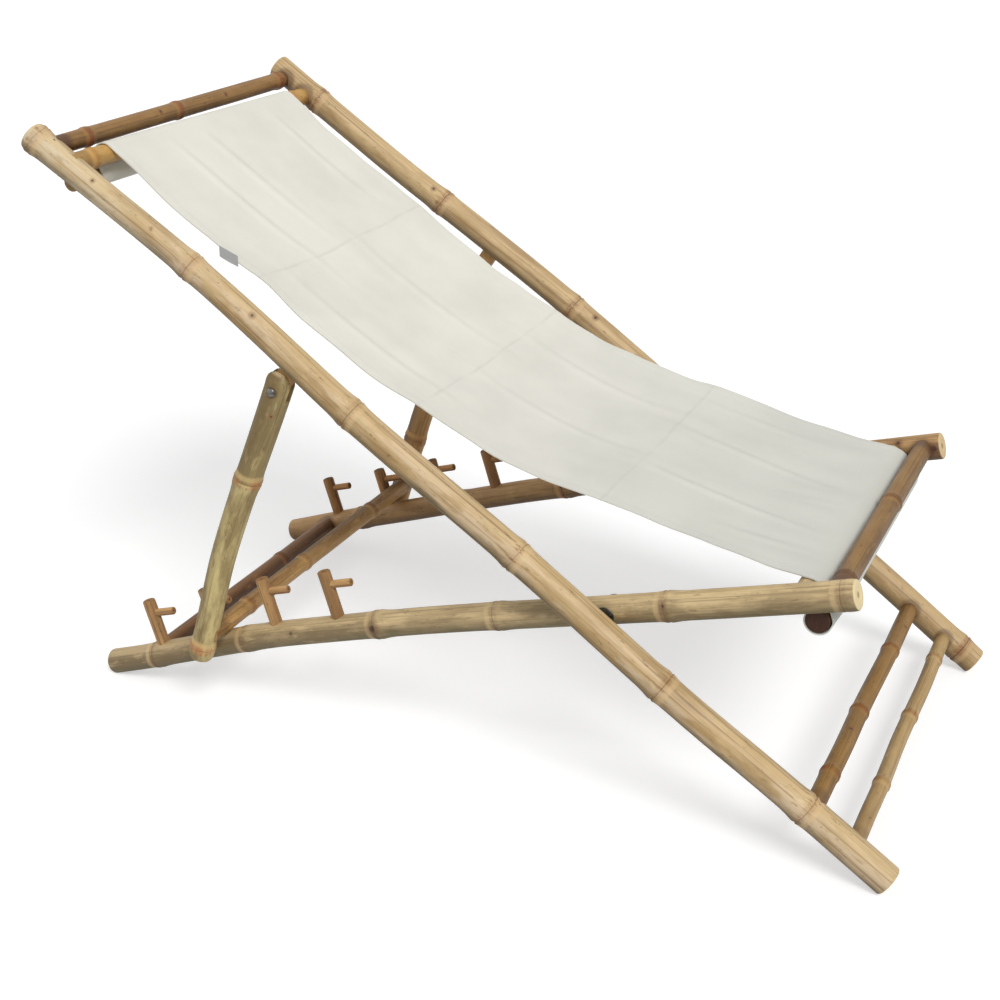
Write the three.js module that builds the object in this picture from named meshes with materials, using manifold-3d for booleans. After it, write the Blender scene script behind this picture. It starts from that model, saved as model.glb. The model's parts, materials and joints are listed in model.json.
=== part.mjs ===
// Folding recliner made of bamboo poles with a canvas sling.
// Millimetres, +Z up, +X towards the foot of the chair, +Y towards the sitter's left.
import * as THREE from 'three';
import { mergeVertices } from 'three/addons/utils/BufferGeometryUtils.js';
import Module from 'manifold-3d';

const wasm = await Module();
wasm.setup();

// Overall sizes of the three frames
const backRailLength = 1450;
const seatRailLength = 1160;
const backAngle = THREE.MathUtils.degToRad(33.5);
const backHalfSpan = 304.2;
const pivotFromFoot = 477.5;
const pivotFromSeatRear = 835.8;
const propFromFoot = 988;
const propBelowChord = 44;

// Fits between pieces
const seatGap = 0.3;
const rubGap = 2.5;
const cutOverrun = 6;
const footWear = 2.2;

// Radii of the poles, from the thick end to the thin end
const backRailButt = 20.8;
const backRailTip = 19.5;
const seatRailButt = 19.4;
const seatRailTip = 18.6;
const propLegTop = 19.2;
const propLegFoot = 17;
const propBarRadius = 13;
const headBarRadius = 12.6;
const headSlingBarRadius = 13.5;
const headRodRadius = 12;
const upperRungRadius = 12.6;
const lowerRungRadius = 10.8;
const frontBarRadius = 13.7;
const frontSlingBarRadius = 14;
const frontRodRadius = 15;
const rearBarRadius = 15;
const pegPostRadius = 9.2;
const pegDowelRadius = 5.7;

// How far each pole's middle line stands off the straight line between its ends
const backRailRiseRight = 8;
const backRailRiseLeft = 17;
const seatRailRiseRight = 24;
const seatRailRiseLeft = 16.6;
const propLegBow = 13;
const barBow = 4;
const pivotAboveBackChord = 5.5;
const pivotAboveSeatChord = 10.4;

// Each pair is a share of the pole's length and a share of its rise
const backRiseSharesRight = [[0, 0], [0.12, 0], [0.23, -0.4], [0.43, 0.3], [0.6, -0.1],
  [0.72, 0.7], [0.8, 1], [0.88, 0.6], [1, -0.6]];
const backRiseSharesLeft = [[0, 0], [0.14, 0.45], [0.33, 0.7], [0.59, 1], [0.7, 0.76],
  [0.8, 0.4], [0.9, 0.27], [1, 0.27]];
const seatRiseSharesRight = [[0, 0.12], [0.05, 0.2], [0.25, 0.84], [0.34, 0.88], [0.5, 0.82],
  [0.8, 0.3], [1, 0]];
const seatRiseSharesLeft = [[0, 0.18], [0.1, 0.48], [0.2, 0.63], [0.4, 1], [0.5, 0.94],
  [0.9, 0.2], [1, 0]];
const legBowShares = [[0, 0], [0.06, 0], [0.6, 1], [0.88, 0.66], [1, 0.5]];
const wavyShares = [[0, 0], [0.06, 0], [0.12, 0], [0.25, 0.5], [0.45, -0.6], [0.7, 0.8], [0.88, 0],
  [0.94, 0], [1, 0]];
const straightShares = [[0, 0], [1, 0]];

// Places of the growth rings, as shares of each pole's length
const backNodeSharesRight = [0.0924, 0.2524, 0.4207, 0.6124, 0.8069, 0.991];
const backNodeSharesLeft = [0.022, 0.211, 0.392, 0.571, 0.756, 0.937];
const seatNodeSharesRight = [0.078, 0.226, 0.42, 0.582, 0.79, 0.985];
const seatNodeSharesLeft = [0.13, 0.3, 0.475, 0.655, 0.835];
const legNodeSharesRight = [0.357, 0.956];
const legNodeSharesLeft = [0.293, 0.725];
const headBarNodeShares = [0.12, 0.47, 0.93];
const headSlingBarNodeShares = [0.07, 0.5, 0.9];
const upperRungNodeShares = [0.14, 0.42, 0.72];
const lowerRungNodeShares = [0.24, 0.55, 0.84];
const frontBarNodeShares = [0.08, 0.56];
const rearBarNodeShares = [0.3, 0.68];
const propBarNodeShares = [0.16, 0.42, 0.77];
const rodNodeShares = [0.33, 0.7];

// Size of a growth ring and of a pole's rounded end
const ringSwell = 1.9;
const ringLipShare = 0.55;
const ringReach = 26;
const ringWidth = 5;
const barRingSwell = 1.3;
const barRingReach = 11;
const barRingWidth = 3;
const poleEndRound = 2.4;
const barEndRound = 1.2;
const waistShare = 0.012;

// Crossbars of the back frame, measured along the rails from their ends
const headBarFromHead = 29;
const headBarSlant = 4.5;
const headSlingBarFromHead = 69;
const headBarsRise = 4;
const headBarsTilt = 4.5;
const upperRungFromFoot = 129;
const lowerRungFromFoot = 62;
const rungRise = 6;
const rungTilt = 3;
const headRodShort = 20.2;
const mortiseDepthShare = 0.62;
const shallowMortiseShare = 0.16;

// Crossbars and pegs of the seat frame, measured along the rails from their ends
const frontBarFromFront = 26;
const frontBarRise = 3;
const frontSlingBarFromFront = 71;
const frontSlingBarRise = 2;
const frontRodFromFront = 60;
const frontRodShort = 5.2;
const rearBarFromRear = 84;
const pegCount = 4;
const firstPegFromRear = 105;
const pegPitch = 106.5;
const pegHeightRight = 68;
const pegHeightLeft = 62;
const pegSink = 24;
const dowelAboveRailRight = 47;
const dowelAboveRailLeft = 43.5;
const dowelReach = 40;
const dowelSink = 5;
const pegEndRound = 1.5;
const propPegIndex = 1;

// Prop legs, the tongues that carry them and the fold fastenings
const propTopReach = 26;
const propTopRound = 16.5;
const propFootReach = 46;
const tongueThickness = 12;
const tongueHalfWidth = 12;
const tongueSink = 4;
const tonguePlay = 1;
const propPinRadius = 3;
const propPinHeadRadius = 6.2;
const propPinHeadHeight = 3;
const propPinShort = 4;
const boltRadius = 4;
const boltHeadRadius = 8.5;
const boltHeadHeight = 4.5;
const boltEngagement = 26;
const washerRadius = 13;
const washerThickness = 1.6;

// Canvas sling and its tag
const slingSideGap = 6.8;
const clothThickness = 1.2;
const clothGap = 0.4;
const headDip = THREE.MathUtils.degToRad(36);
const frontDip = THREE.MathUtils.degToRad(8);
const seatDropShares = [[0, 0], [0.136, 0.0316], [0.235, 0.0483], [0.394, 0.0734], [0.52, 0.0835],
  [0.646, 0.0805], [0.796, 0.049], [0.918, 0.0226], [1, 0]];
const crossSag = 8;
const hemBulge = 22;
const hemDrop = 24;
const hemLap = 9;
const tagFromFoot = 1140;
const tagLength = 24;
const tagDrop = 15;
const tagThickness = 1;

// How finely round shapes are faceted
const railSides = 12;
const barSides = 10;
const pegSides = 8;
const metalSides = 12;
const boreSides = 12;
const clothStrips = 6;
const slingSteps = 20;
const pocketSteps = 6;

// Colours seen in daylight
const paleBamboo = finish(0xd9bd8c, 0.5);
const greyBamboo = finish(0xb5a27c, 0.55);
const oliveBamboo = finish(0xa9985f, 0.55);
const brownBamboo = finish(0x8a6442, 0.5);
const tanBamboo = finish(0xb8924f, 0.52);
const pegBamboo = finish(0x8b6a48, 0.6);
const zincSteel = finish(0x9c9d9b, 0.4, 0.9);
const canvas = finish(0xe6e4da, 0.9);
const tagTape = finish(0xc9cac8, 0.85);

function finish(color, roughness, metalness = 0) {
  return new THREE.MeshStandardMaterial({ color, roughness, metalness });
}

// A curve through the pairs of a share table, read at one share of the length
function readShares(table, share) {
  const last = table.length - 1;
  const found = table.findIndex(([at]) => at >= share);
  const upper = THREE.MathUtils.clamp(found < 0 ? last : found, 1, last);
  const [fromShare, fromValue] = table[upper - 1];
  const [toShare, toValue] = table[upper];
  const span = toShare - fromShare;
  const slopeAt = (index) => {
    const before = table[Math.max(index - 1, 0)];
    const after = table[Math.min(index + 1, last)];
    return (after[1] - before[1]) / (after[0] - before[0]);
  };
  const part = THREE.MathUtils.clamp((share - fromShare) / span, 0, 1);
  const square = part * part;
  const cube = square * part;
  return (2 * cube - 3 * square + 1) * fromValue + (cube - 2 * square + part) * span * slopeAt(upper - 1)
    + (3 * square - 2 * cube) * toValue + (cube - square) * span * slopeAt(upper);
}

// The outline of a pole from its thick end to its thin end, swollen and grooved at each growth ring
function poleOutline(pole) {
  const { length, butt, tip, nodes, swell, reach, ring, round, startRound = round } = pole;
  const radiusAt = (along) => {
    const share = along / length;
    const waist = Math.sin(Math.PI * share) * waistShare;
    return THREE.MathUtils.lerp(butt, tip, share) * (1 - waist);
  };
  const outline = [[0, 0], [0, butt - startRound], [startRound, butt]];
  const stations = [];
  for (const share of nodes) {
    const centre = share * length;
    stations.push([centre - reach, 0], [centre - ring, swell * ringLipShare]);
    stations.push([centre + ring / 2, swell], [centre + reach, 0]);
  }
  for (const share of pole.stations) {
    const along = share * length;
    const crowded = nodes.some((node) => Math.abs(node * length - along) < reach * 1.6);
    if (!crowded) stations.push([along, 0]);
  }
  stations.sort((a, b) => a[0] - b[0]);
  for (const [along, raise] of stations) {
    const previous = outline[outline.length - 1][0];
    if (along > previous + ring / 4 && along < length - round * 1.5) {
      outline.push([along, radiusAt(along) + raise]);
    }
  }
  outline.push([length - round, tip], [length, tip - round], [length, 0]);
  return outline.map(([along, radius]) => new THREE.Vector2(radius, along));
}

// A bamboo pole along +X, bent upwards by its own rise table
function poleGeometry(pole) {
  const geometry = new THREE.LatheGeometry(poleOutline(pole), pole.sides);
  geometry.rotateZ(-Math.PI / 2);
  const position = geometry.attributes.position;
  for (let index = 0; index < position.count; index += 1) {
    const share = position.getX(index) / pole.length;
    position.setZ(index, position.getZ(index) + pole.rise * readShares(pole.riseShares, share));
  }
  return geometry;
}

const evenShares = [0.1, 0.2, 0.3, 0.4, 0.5, 0.6, 0.7, 0.8, 0.9];
const sparseShares = [0.06, 0.3, 0.5, 0.7, 0.94];

function rail(settings) {
  return { swell: ringSwell, reach: ringReach, ring: ringWidth, round: poleEndRound,
    sides: railSides, stations: evenShares, rise: 0, riseShares: straightShares, ...settings };
}

function slimPole(settings) {
  return rail({ swell: barRingSwell, reach: barRingReach, ring: barRingWidth, round: barEndRound,
    sides: barSides, stations: sparseShares, ...settings });
}

// Turns geometry that runs along +X so that it runs from one point to another
function runBetween(geometry, start, end) {
  const along = new THREE.Vector3().subVectors(end, start).normalize();
  const side = new THREE.Vector3().crossVectors(new THREE.Vector3(0, 0, 1), along);
  if (side.lengthSq() < Number.EPSILON) side.set(0, 1, 0);
  side.normalize();
  const up = new THREE.Vector3().crossVectors(along, side);
  const turn = new THREE.Matrix4().makeBasis(along, side, up).setPosition(start);
  return geometry.applyMatrix4(turn);
}

function roundBar(start, end, radius, sides) {
  const length = start.distanceTo(end);
  const geometry = new THREE.CylinderGeometry(radius, radius, length, sides);
  geometry.rotateZ(-Math.PI / 2);
  geometry.translate(length / 2, 0, 0);
  return runBetween(geometry, start, end);
}

// A hole whose flat-sided wall keeps clear of a round piece of the given radius
function bore(start, end, radius) {
  return roundBar(start, end, (radius + seatGap) / Math.cos(Math.PI / boreSides), boreSides);
}

function solidOf(geometry) {
  const bare = geometry.clone();
  bare.deleteAttribute('normal');
  bare.deleteAttribute('uv');
  const merged = mergeVertices(bare, 1e-4);
  const vertProperties = new Float32Array(merged.attributes.position.array);
  const triVerts = new Uint32Array(merged.index.array);
  return new wasm.Manifold(new wasm.Mesh({ numProp: 3, vertProperties, triVerts }));
}

function geometryOf(solid) {
  const { vertProperties, triVerts, numProp } = solid.getMesh();
  const geometry = new THREE.BufferGeometry();
  geometry.setAttribute('position', new THREE.BufferAttribute(new Float32Array(vertProperties), numProp));
  geometry.setIndex(new THREE.BufferAttribute(new Uint32Array(triVerts), 1));
  geometry.computeVertexNormals();
  return geometry;
}

function cut(geometry, tools) {
  let solid = solidOf(geometry);
  for (const tool of tools) solid = solid.subtract(solidOf(tool));
  return geometryOf(solid);
}

function join(geometries) {
  const [first, ...others] = geometries.map(solidOf);
  return geometryOf(others.reduce((whole, part) => whole.add(part), first));
}

function addPiece(group, name, geometry, material) {
  const mesh = new THREE.Mesh(geometry, material);
  mesh.name = name;
  group.add(mesh);
}

const sides = [
  { name: 'right', sign: -1 },
  { name: 'left', sign: 1 },
];

// The back frame leans on its foot end, and the seat frame is set by its rear end on the floor
const seatHalfSpan = backHalfSpan - rubGap
  - THREE.MathUtils.lerp(backRailButt, backRailTip, pivotFromFoot / backRailLength)
  - THREE.MathUtils.lerp(seatRailTip, seatRailButt, pivotFromSeatRear / seatRailLength);
const pivotHeight = (pivotFromFoot - poleEndRound) * Math.sin(backAngle)
  + (pivotAboveBackChord + backRailButt) * Math.cos(backAngle) - footWear;
const rearRise = seatRailRiseRight * seatRiseSharesRight[0][1];
const rearRun = pivotFromSeatRear - poleEndRound;
const rearDrop = pivotAboveSeatChord + seatRailTip - rearRise;
const seatAngle = Math.asin((pivotHeight + footWear) / Math.hypot(rearRun, rearDrop))
  - Math.atan2(rearDrop, rearRun);

const chair = new THREE.Group();
const backFrame = new THREE.Group();
backFrame.rotation.y = backAngle;
backFrame.position.z = pivotHeight;
const seatFrame = new THREE.Group();
seatFrame.rotation.y = -seatAngle;
seatFrame.position.z = pivotHeight;
chair.add(backFrame, seatFrame);
backFrame.updateMatrixWorld();
seatFrame.updateMatrixWorld();

// The level floor, seen from inside a leaning frame, trims the ends that stand on it
function floorFor(frame) {
  const reach = backRailLength + seatRailLength;
  const slab = new THREE.BoxGeometry(reach, reach, reach);
  slab.translate(0, 0, -reach / 2);
  return slab.applyMatrix4(frame.matrixWorld.clone().invert());
}

// Middle lines of the rails, in their own frame with the fold pivot at its origin
const backRails = {
  right: rail({ length: backRailLength, butt: backRailButt, tip: backRailTip,
    nodes: backNodeSharesRight, rise: backRailRiseRight, riseShares: backRiseSharesRight }),
  left: rail({ length: backRailLength, butt: backRailButt, tip: backRailTip,
    nodes: backNodeSharesLeft, rise: backRailRiseLeft, riseShares: backRiseSharesLeft }),
};
const seatRails = {
  right: rail({ length: seatRailLength, butt: seatRailTip, tip: seatRailButt,
    nodes: seatNodeSharesRight, rise: seatRailRiseRight, riseShares: seatRiseSharesRight }),
  left: rail({ length: seatRailLength, butt: seatRailTip, tip: seatRailButt,
    nodes: seatNodeSharesLeft, rise: seatRailRiseLeft, riseShares: seatRiseSharesLeft }),
};

function riseOf(pole, along) {
  return pole.rise * readShares(pole.riseShares, along / pole.length);
}

function radiusOf(pole, along) {
  return THREE.MathUtils.lerp(pole.butt, pole.tip, along / pole.length);
}

function backPoint(fromFoot, y, rise) {
  return new THREE.Vector3(pivotFromFoot - fromFoot, y, rise - pivotAboveBackChord);
}

function seatPoint(fromRear, y, rise) {
  return new THREE.Vector3(fromRear - pivotFromSeatRear, y, rise - pivotAboveSeatChord);
}

// A crossbar reaches into both rails; slant and tilt set its two ends apart
function crossbarEnds(pointAt, along, rise, slant, tilt, halfSpan, wall, depthShare) {
  const reach = halfSpan - wall + 2 * wall * depthShare;
  const right = pointAt(along - slant, -reach, rise + tilt);
  const left = pointAt(along + slant, reach, rise - tilt);
  return { right, left };
}

function crossbarGeometry(ends, radius, nodes, riseShares, rise) {
  const length = ends.right.distanceTo(ends.left);
  const pole = slimPole({ length, butt: radius, tip: radius, nodes, rise, riseShares });
  return runBetween(poleGeometry(pole), ends.right, ends.left);
}

// The bore for one end of a crossbar, running seatGap past the end of the bar
function crossbarBore(ends, side, radius) {
  const outer = ends[side.name];
  const inner = outer.clone().lerp(side.sign < 0 ? ends.left : ends.right, 0.25);
  const past = new THREE.Vector3().subVectors(outer, inner).setLength(seatGap);
  return bore(inner, outer.clone().add(past), radius);
}

const backBars = [
  { name: 'head_bar', along: backRailLength - headBarFromHead, rise: headBarsRise, slant: headBarSlant,
    tilt: headBarsTilt, radius: headBarRadius, nodes: headBarNodeShares, bow: 0, material: brownBamboo },
  { name: 'head_sling_bar', along: backRailLength - headSlingBarFromHead, rise: headBarsRise, slant: 0,
    tilt: headBarsTilt, radius: headSlingBarRadius, nodes: headSlingBarNodeShares, bow: 0,
    material: tanBamboo },
  { name: 'upper_rung', along: upperRungFromFoot, rise: rungRise, slant: 0, tilt: rungTilt,
    radius: upperRungRadius, nodes: upperRungNodeShares, bow: barBow, material: brownBamboo },
  { name: 'lower_rung', along: lowerRungFromFoot, rise: rungRise, slant: 0, tilt: rungTilt,
    radius: lowerRungRadius, nodes: lowerRungNodeShares, bow: barBow, material: brownBamboo },
];
for (const bar of backBars) {
  bar.ends = crossbarEnds(backPoint, bar.along, bar.rise, bar.slant, bar.tilt, backHalfSpan, backRailTip,
    mortiseDepthShare);
  const geometry = crossbarGeometry(bar.ends, bar.radius, bar.nodes, wavyShares, bar.bow);
  addPiece(backFrame, bar.name, geometry, bar.material);
}

const rearBarRise = (riseOf(seatRails.right, rearBarFromRear) + riseOf(seatRails.left, rearBarFromRear)) / 2;
const seatBars = [
  { name: 'front_bar', along: seatRailLength - frontBarFromFront, rise: frontBarRise,
    radius: frontBarRadius, nodes: frontBarNodeShares, depthShare: mortiseDepthShare,
    material: tanBamboo },
  { name: 'front_sling_bar', along: seatRailLength - frontSlingBarFromFront, rise: frontSlingBarRise,
    radius: frontSlingBarRadius, nodes: rodNodeShares, depthShare: mortiseDepthShare,
    material: greyBamboo },
  { name: 'rear_bar', along: rearBarFromRear, rise: rearBarRise,
    radius: rearBarRadius, nodes: rearBarNodeShares, depthShare: shallowMortiseShare,
    material: brownBamboo },
];
for (const bar of seatBars) {
  bar.ends = crossbarEnds(seatPoint, bar.along, bar.rise, 0, 0, seatHalfSpan, seatRailTip, bar.depthShare);
  const geometry = crossbarGeometry(bar.ends, bar.radius, bar.nodes, straightShares, 0);
  addPiece(seatFrame, bar.name, geometry, bar.material);
}

// Loose rods that the sling's pockets pull up against the underside of the rails
function rodUnder(rails, pointAt, along, halfLength, radius) {
  const undersides = sides.map(({ name }) => riseOf(rails[name], along) - radiusOf(rails[name], along));
  const rise = Math.min(...undersides) - seatGap - radius;
  return { right: pointAt(along, -halfLength, rise), left: pointAt(along, halfLength, rise) };
}

const headRodEnds = rodUnder(backRails, backPoint, backRailLength - headSlingBarFromHead,
  backHalfSpan - headRodShort, headRodRadius);
const frontRodEnds = rodUnder(seatRails, seatPoint, seatRailLength - frontRodFromFront,
  seatHalfSpan - frontRodShort, frontRodRadius);
addPiece(backFrame, 'head_sling_rod',
  crossbarGeometry(headRodEnds, headRodRadius, rodNodeShares, straightShares, 0), tanBamboo);
addPiece(seatFrame, 'front_sling_rod',
  crossbarGeometry(frontRodEnds, frontRodRadius, rodNodeShares, straightShares, 0), brownBamboo);

// The prop bar lies on the seat rails against the front of one pair of pegs
const propPegFromRear = firstPegFromRear + propPegIndex * pegPitch;
const propBarFromRear = propPegFromRear + pegPostRadius + seatGap + propBarRadius;
const railTops = sides.map(({ name }) => {
  const pole = seatRails[name];
  return riseOf(pole, propBarFromRear) + radiusOf(pole, propBarFromRear);
});
const propBarRise = Math.max(...railTops) + seatGap + propBarRadius;
const propBarInBack = seatPoint(propBarFromRear, 0, propBarRise)
  .applyMatrix4(seatFrame.matrixWorld).applyMatrix4(backFrame.matrixWorld.clone().invert());

// The prop frame hangs from the back rails; its +X runs down the legs to the feet
const propPivot = backPoint(propFromFoot, 0, -propBelowChord);
const propRun = new THREE.Vector3().subVectors(propBarInBack, propPivot);
const propFrame = new THREE.Group();
propFrame.position.copy(propPivot);
propFrame.rotation.y = Math.atan2(-propRun.z, propRun.x);
backFrame.add(propFrame);
propFrame.updateMatrixWorld();
const propBarFromPivot = Math.hypot(propRun.x, propRun.z);
const propLegLength = propTopReach + propBarFromPivot + propFootReach;

function legPoint(fromPivot, sign) {
  return new THREE.Vector3(fromPivot, sign * backHalfSpan, 0);
}

const legNodes = { right: legNodeSharesRight, left: legNodeSharesLeft };
const pegHeights = { right: pegHeightRight, left: pegHeightLeft };
const dowelRises = { right: dowelAboveRailRight, left: dowelAboveRailLeft };
const propBarReach = backHalfSpan - propLegFoot + 2 * propLegFoot * mortiseDepthShare;
const propBarEnds = { right: legPoint(propBarFromPivot, -1), left: legPoint(propBarFromPivot, 1) };
propBarEnds.right.y = -propBarReach;
propBarEnds.left.y = propBarReach;
addPiece(propFrame, 'prop_bar',
  crossbarGeometry(propBarEnds, propBarRadius, propBarNodeShares, straightShares, 0), tanBamboo);

// A flat tongue with a round lower end about the prop's pin, standing up into the rail
function tongueGeometry(sign, top, play) {
  const halfWidth = tongueHalfWidth + play;
  const thickness = tongueThickness + 2 * play;
  const outline = new THREE.Shape();
  outline.moveTo(halfWidth, top + play);
  outline.lineTo(-halfWidth, top + play);
  outline.lineTo(-halfWidth, 0);
  outline.absarc(0, 0, halfWidth, Math.PI, 2 * Math.PI, false);
  const geometry = new THREE.ExtrudeGeometry(outline,
    { depth: thickness, bevelEnabled: false, curveSegments: barSides / 2 });
  geometry.rotateX(Math.PI / 2);
  geometry.translate(propPivot.x, sign * backHalfSpan + thickness / 2, propPivot.z);
  return geometry;
}

// A bolt, its head and the washer under the head, pointing outwards along Y from the given face
function boltGeometry(centre, sign, face, tip) {
  const at = (y) => new THREE.Vector3(centre.x, sign * y, centre.z);
  const headFace = face - seatGap - washerThickness - seatGap;
  const shank = roundBar(at(headFace - boltHeadHeight / 2), at(tip), boltRadius, metalSides);
  const head = roundBar(at(headFace - boltHeadHeight), at(headFace), boltHeadRadius, metalSides);
  return join([shank, head]);
}

function washerGeometry(centre, sign, face) {
  const at = (y) => new THREE.Vector3(centre.x, sign * y, centre.z);
  const disc = roundBar(at(face), at(face + washerThickness), washerRadius, metalSides);
  return cut(disc, [bore(at(face - cutOverrun), at(face + washerThickness + cutOverrun), boltRadius)]);
}

for (const side of sides) {
  const { name, sign } = side;
  const backRail = backRails[name];
  const seatRail = seatRails[name];
  const foldPoint = new THREE.Vector3(0, 0, 0);
  const outerAt = (point, y) => new THREE.Vector3(point.x, sign * y, point.z);

  // Back rail, bored for its crossbars and the fold bolt and slotted for the prop's tongue
  const backBody = poleGeometry(backRail);
  backBody.scale(-1, -1, 1);
  backBody.translate(pivotFromFoot, sign * backHalfSpan, -pivotAboveBackChord);
  const boltTip = backHalfSpan - backRailTip + boltEngagement;
  const foldBore = bore(outerAt(foldPoint, seatHalfSpan), outerAt(foldPoint, boltTip + seatGap), boltRadius);
  const backBores = backBars.map((bar) => crossbarBore(bar.ends, side, bar.radius));
  const tongueTop = backPoint(0, 0, riseOf(backRail, propFromFoot) + tongueSink).z - propPivot.z;
  addPiece(backFrame, `back_rail_${name}`, cut(backBody,
    [...backBores, foldBore, tongueGeometry(sign, tongueTop, seatGap), floorFor(backFrame)]), paleBamboo);

  // Seat rail, bored for its crossbars, its pegs and the fold bolt
  const seatBody = poleGeometry(seatRail);
  seatBody.translate(-pivotFromSeatRear, sign * seatHalfSpan, -pivotAboveSeatChord);
  const seatBores = seatBars.map((bar) => crossbarBore(bar.ends, side, bar.radius));
  const seatRailInner = seatHalfSpan - seatRailButt;
  seatBores.push(bore(outerAt(foldPoint, seatRailInner - cutOverrun), outerAt(foldPoint, backHalfSpan),
    boltRadius));

  for (let index = 0; index < pegCount; index += 1) {
    const along = firstPegFromRear + index * pegPitch;
    const axisRise = riseOf(seatRail, along);
    const top = axisRise + radiusOf(seatRail, along);
    const y = sign * seatHalfSpan;
    const foot = seatPoint(along, y, top - pegSink);
    const head = seatPoint(along, y, top + pegHeights[name]);
    const post = slimPole({ length: foot.distanceTo(head), butt: pegPostRadius, tip: pegPostRadius,
      nodes: [], stations: [], round: pegEndRound, sides: pegSides });
    const dowelRise = top + dowelRises[name];
    const dowelStart = seatPoint(along - dowelSink, y, dowelRise);
    const dowelEnd = seatPoint(along + dowelReach, y, dowelRise);
    const dowel = slimPole({ length: dowelStart.distanceTo(dowelEnd), butt: pegDowelRadius,
      tip: pegDowelRadius, nodes: [], stations: [], round: pegEndRound, sides: pegSides });
    const pastDowel = seatPoint(along - dowelSink - seatGap, y, dowelRise);
    const dowelBore = bore(pastDowel, dowelEnd, pegDowelRadius);
    addPiece(seatFrame, `peg_post_${name}_${index + 1}`,
      cut(runBetween(poleGeometry(post), foot, head), [dowelBore]), pegBamboo);
    addPiece(seatFrame, `peg_dowel_${name}_${index + 1}`,
      runBetween(poleGeometry(dowel), dowelStart, dowelEnd), pegBamboo);
    const belowFoot = seatPoint(along, y, top - pegSink - seatGap);
    seatBores.push(bore(belowFoot, head, pegPostRadius));
  }
  addPiece(seatFrame, `seat_rail_${name}`, cut(seatBody, [...seatBores, floorFor(seatFrame)]), greyBamboo);

  // Prop leg, bored for the prop bar and its pin, with a slot that lets the tongue swing
  const leg = rail({ length: propLegLength, butt: propLegTop, tip: propLegFoot, nodes: legNodes[name],
    startRound: propTopRound, rise: -propLegBow, riseShares: legBowShares });
  const slotFoot = tongueHalfWidth + tonguePlay;
  const slot = new THREE.BoxGeometry(propTopReach * 2, tongueThickness + tonguePlay, propLegTop * 4);
  slot.translate(slotFoot - propTopReach, sign * backHalfSpan, 0);
  const pinFace = backHalfSpan + propLegTop + seatGap;
  const pinTip = backHalfSpan - propLegTop + propPinShort;
  const legAxis = legPoint(0, sign);
  const pinBore = bore(outerAt(legAxis, pinTip - seatGap), outerAt(legAxis, pinFace + cutOverrun),
    propPinRadius);
  const legBody = runBetween(poleGeometry(leg), legPoint(-propTopReach, sign),
    legPoint(propLegLength - propTopReach, sign));
  addPiece(propFrame, `prop_leg_${name}`,
    cut(legBody, [crossbarBore(propBarEnds, side, propBarRadius), pinBore, slot]), oliveBamboo);
  const pinHead = roundBar(outerAt(legAxis, pinFace), outerAt(legAxis, pinFace + propPinHeadHeight),
    propPinHeadRadius, metalSides);
  const pinShank = roundBar(outerAt(legAxis, pinTip), outerAt(legAxis, pinFace + propPinHeadHeight / 2),
    propPinRadius, metalSides);
  addPiece(propFrame, `prop_pin_${name}`, join([pinShank, pinHead]), zincSteel);
  const tongueBore = bore(outerAt(propPivot, backHalfSpan - propLegTop), outerAt(propPivot, pinFace),
    propPinRadius);
  addPiece(backFrame, `prop_tongue_${name}`,
    cut(tongueGeometry(sign, tongueTop, 0), [tongueBore]), brownBamboo);

  // Bolts with a washer under the head and one between the poles that turn on each other
  const foldInner = seatRailInner;
  addPiece(backFrame, `fold_bolt_${name}`, boltGeometry(foldPoint, sign, foldInner, boltTip), zincSteel);
  addPiece(backFrame, `fold_head_washer_${name}`,
    washerGeometry(foldPoint, sign, foldInner - seatGap - washerThickness), zincSteel);
  const foldGapStart = seatHalfSpan + THREE.MathUtils.lerp(seatRailTip, seatRailButt,
    pivotFromSeatRear / seatRailLength) + (rubGap - washerThickness) / 2;
  addPiece(backFrame, `fold_washer_${name}`, washerGeometry(foldPoint, sign, foldGapStart), zincSteel);
}

// The point where a crossbar passes a given width, flattened onto the X-Z plane
function planeAt(ends, frame, y) {
  const share = (y - ends.right.y) / (ends.left.y - ends.right.y);
  const world = ends.right.clone().lerp(ends.left, share).applyMatrix4(frame.matrixWorld);
  return new THREE.Vector2(world.x, world.z);
}

// Direction of the left-hand normal where a taut line runs from one round bar to the next
function tangentNormal(from, to) {
  const run = to.centre.clone().sub(from.centre);
  const lean = (to.spin * to.radius - from.spin * from.radius) / run.length();
  return run.angle() + Math.acos(lean);
}

function onWrap(wrap, normalAngle) {
  const reach = -wrap.spin * wrap.radius;
  return new THREE.Vector2(Math.cos(normalAngle), Math.sin(normalAngle))
    .multiplyScalar(reach).add(wrap.centre);
}

function wrapArc(wrap, fromAngle, toAngle, steps) {
  let sweep = THREE.MathUtils.euclideanModulo(toAngle - fromAngle, 2 * Math.PI);
  if (wrap.spin < 0) sweep -= 2 * Math.PI;
  const points = [];
  for (let step = 0; step <= steps; step += 1) {
    points.push(onWrap(wrap, fromAngle + sweep * step / steps));
  }
  return points;
}

// The slack side of a pocket bulges away from its rod and laps back beside the taut side
function pocketTail(wrap, side, frameAngle) {
  const out = new THREE.Vector2(side * Math.cos(frameAngle), side * Math.sin(frameAngle));
  const up = new THREE.Vector2(-Math.sin(frameAngle), Math.cos(frameAngle));
  const at = (outward, upward) => wrap.centre.clone()
    .addScaledVector(out, outward).addScaledVector(up, upward);
  const curve = new THREE.SplineCurve([
    at(wrap.radius * Math.SQRT1_2, -wrap.radius * Math.SQRT1_2),
    at(wrap.radius + hemBulge / 4, -hemDrop / 8),
    at(wrap.radius + hemBulge / 4, hemDrop / 2),
    at(wrap.radius + hemLap / 4, hemDrop),
  ]);
  return curve.getPoints(pocketSteps).slice(1);
}

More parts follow.
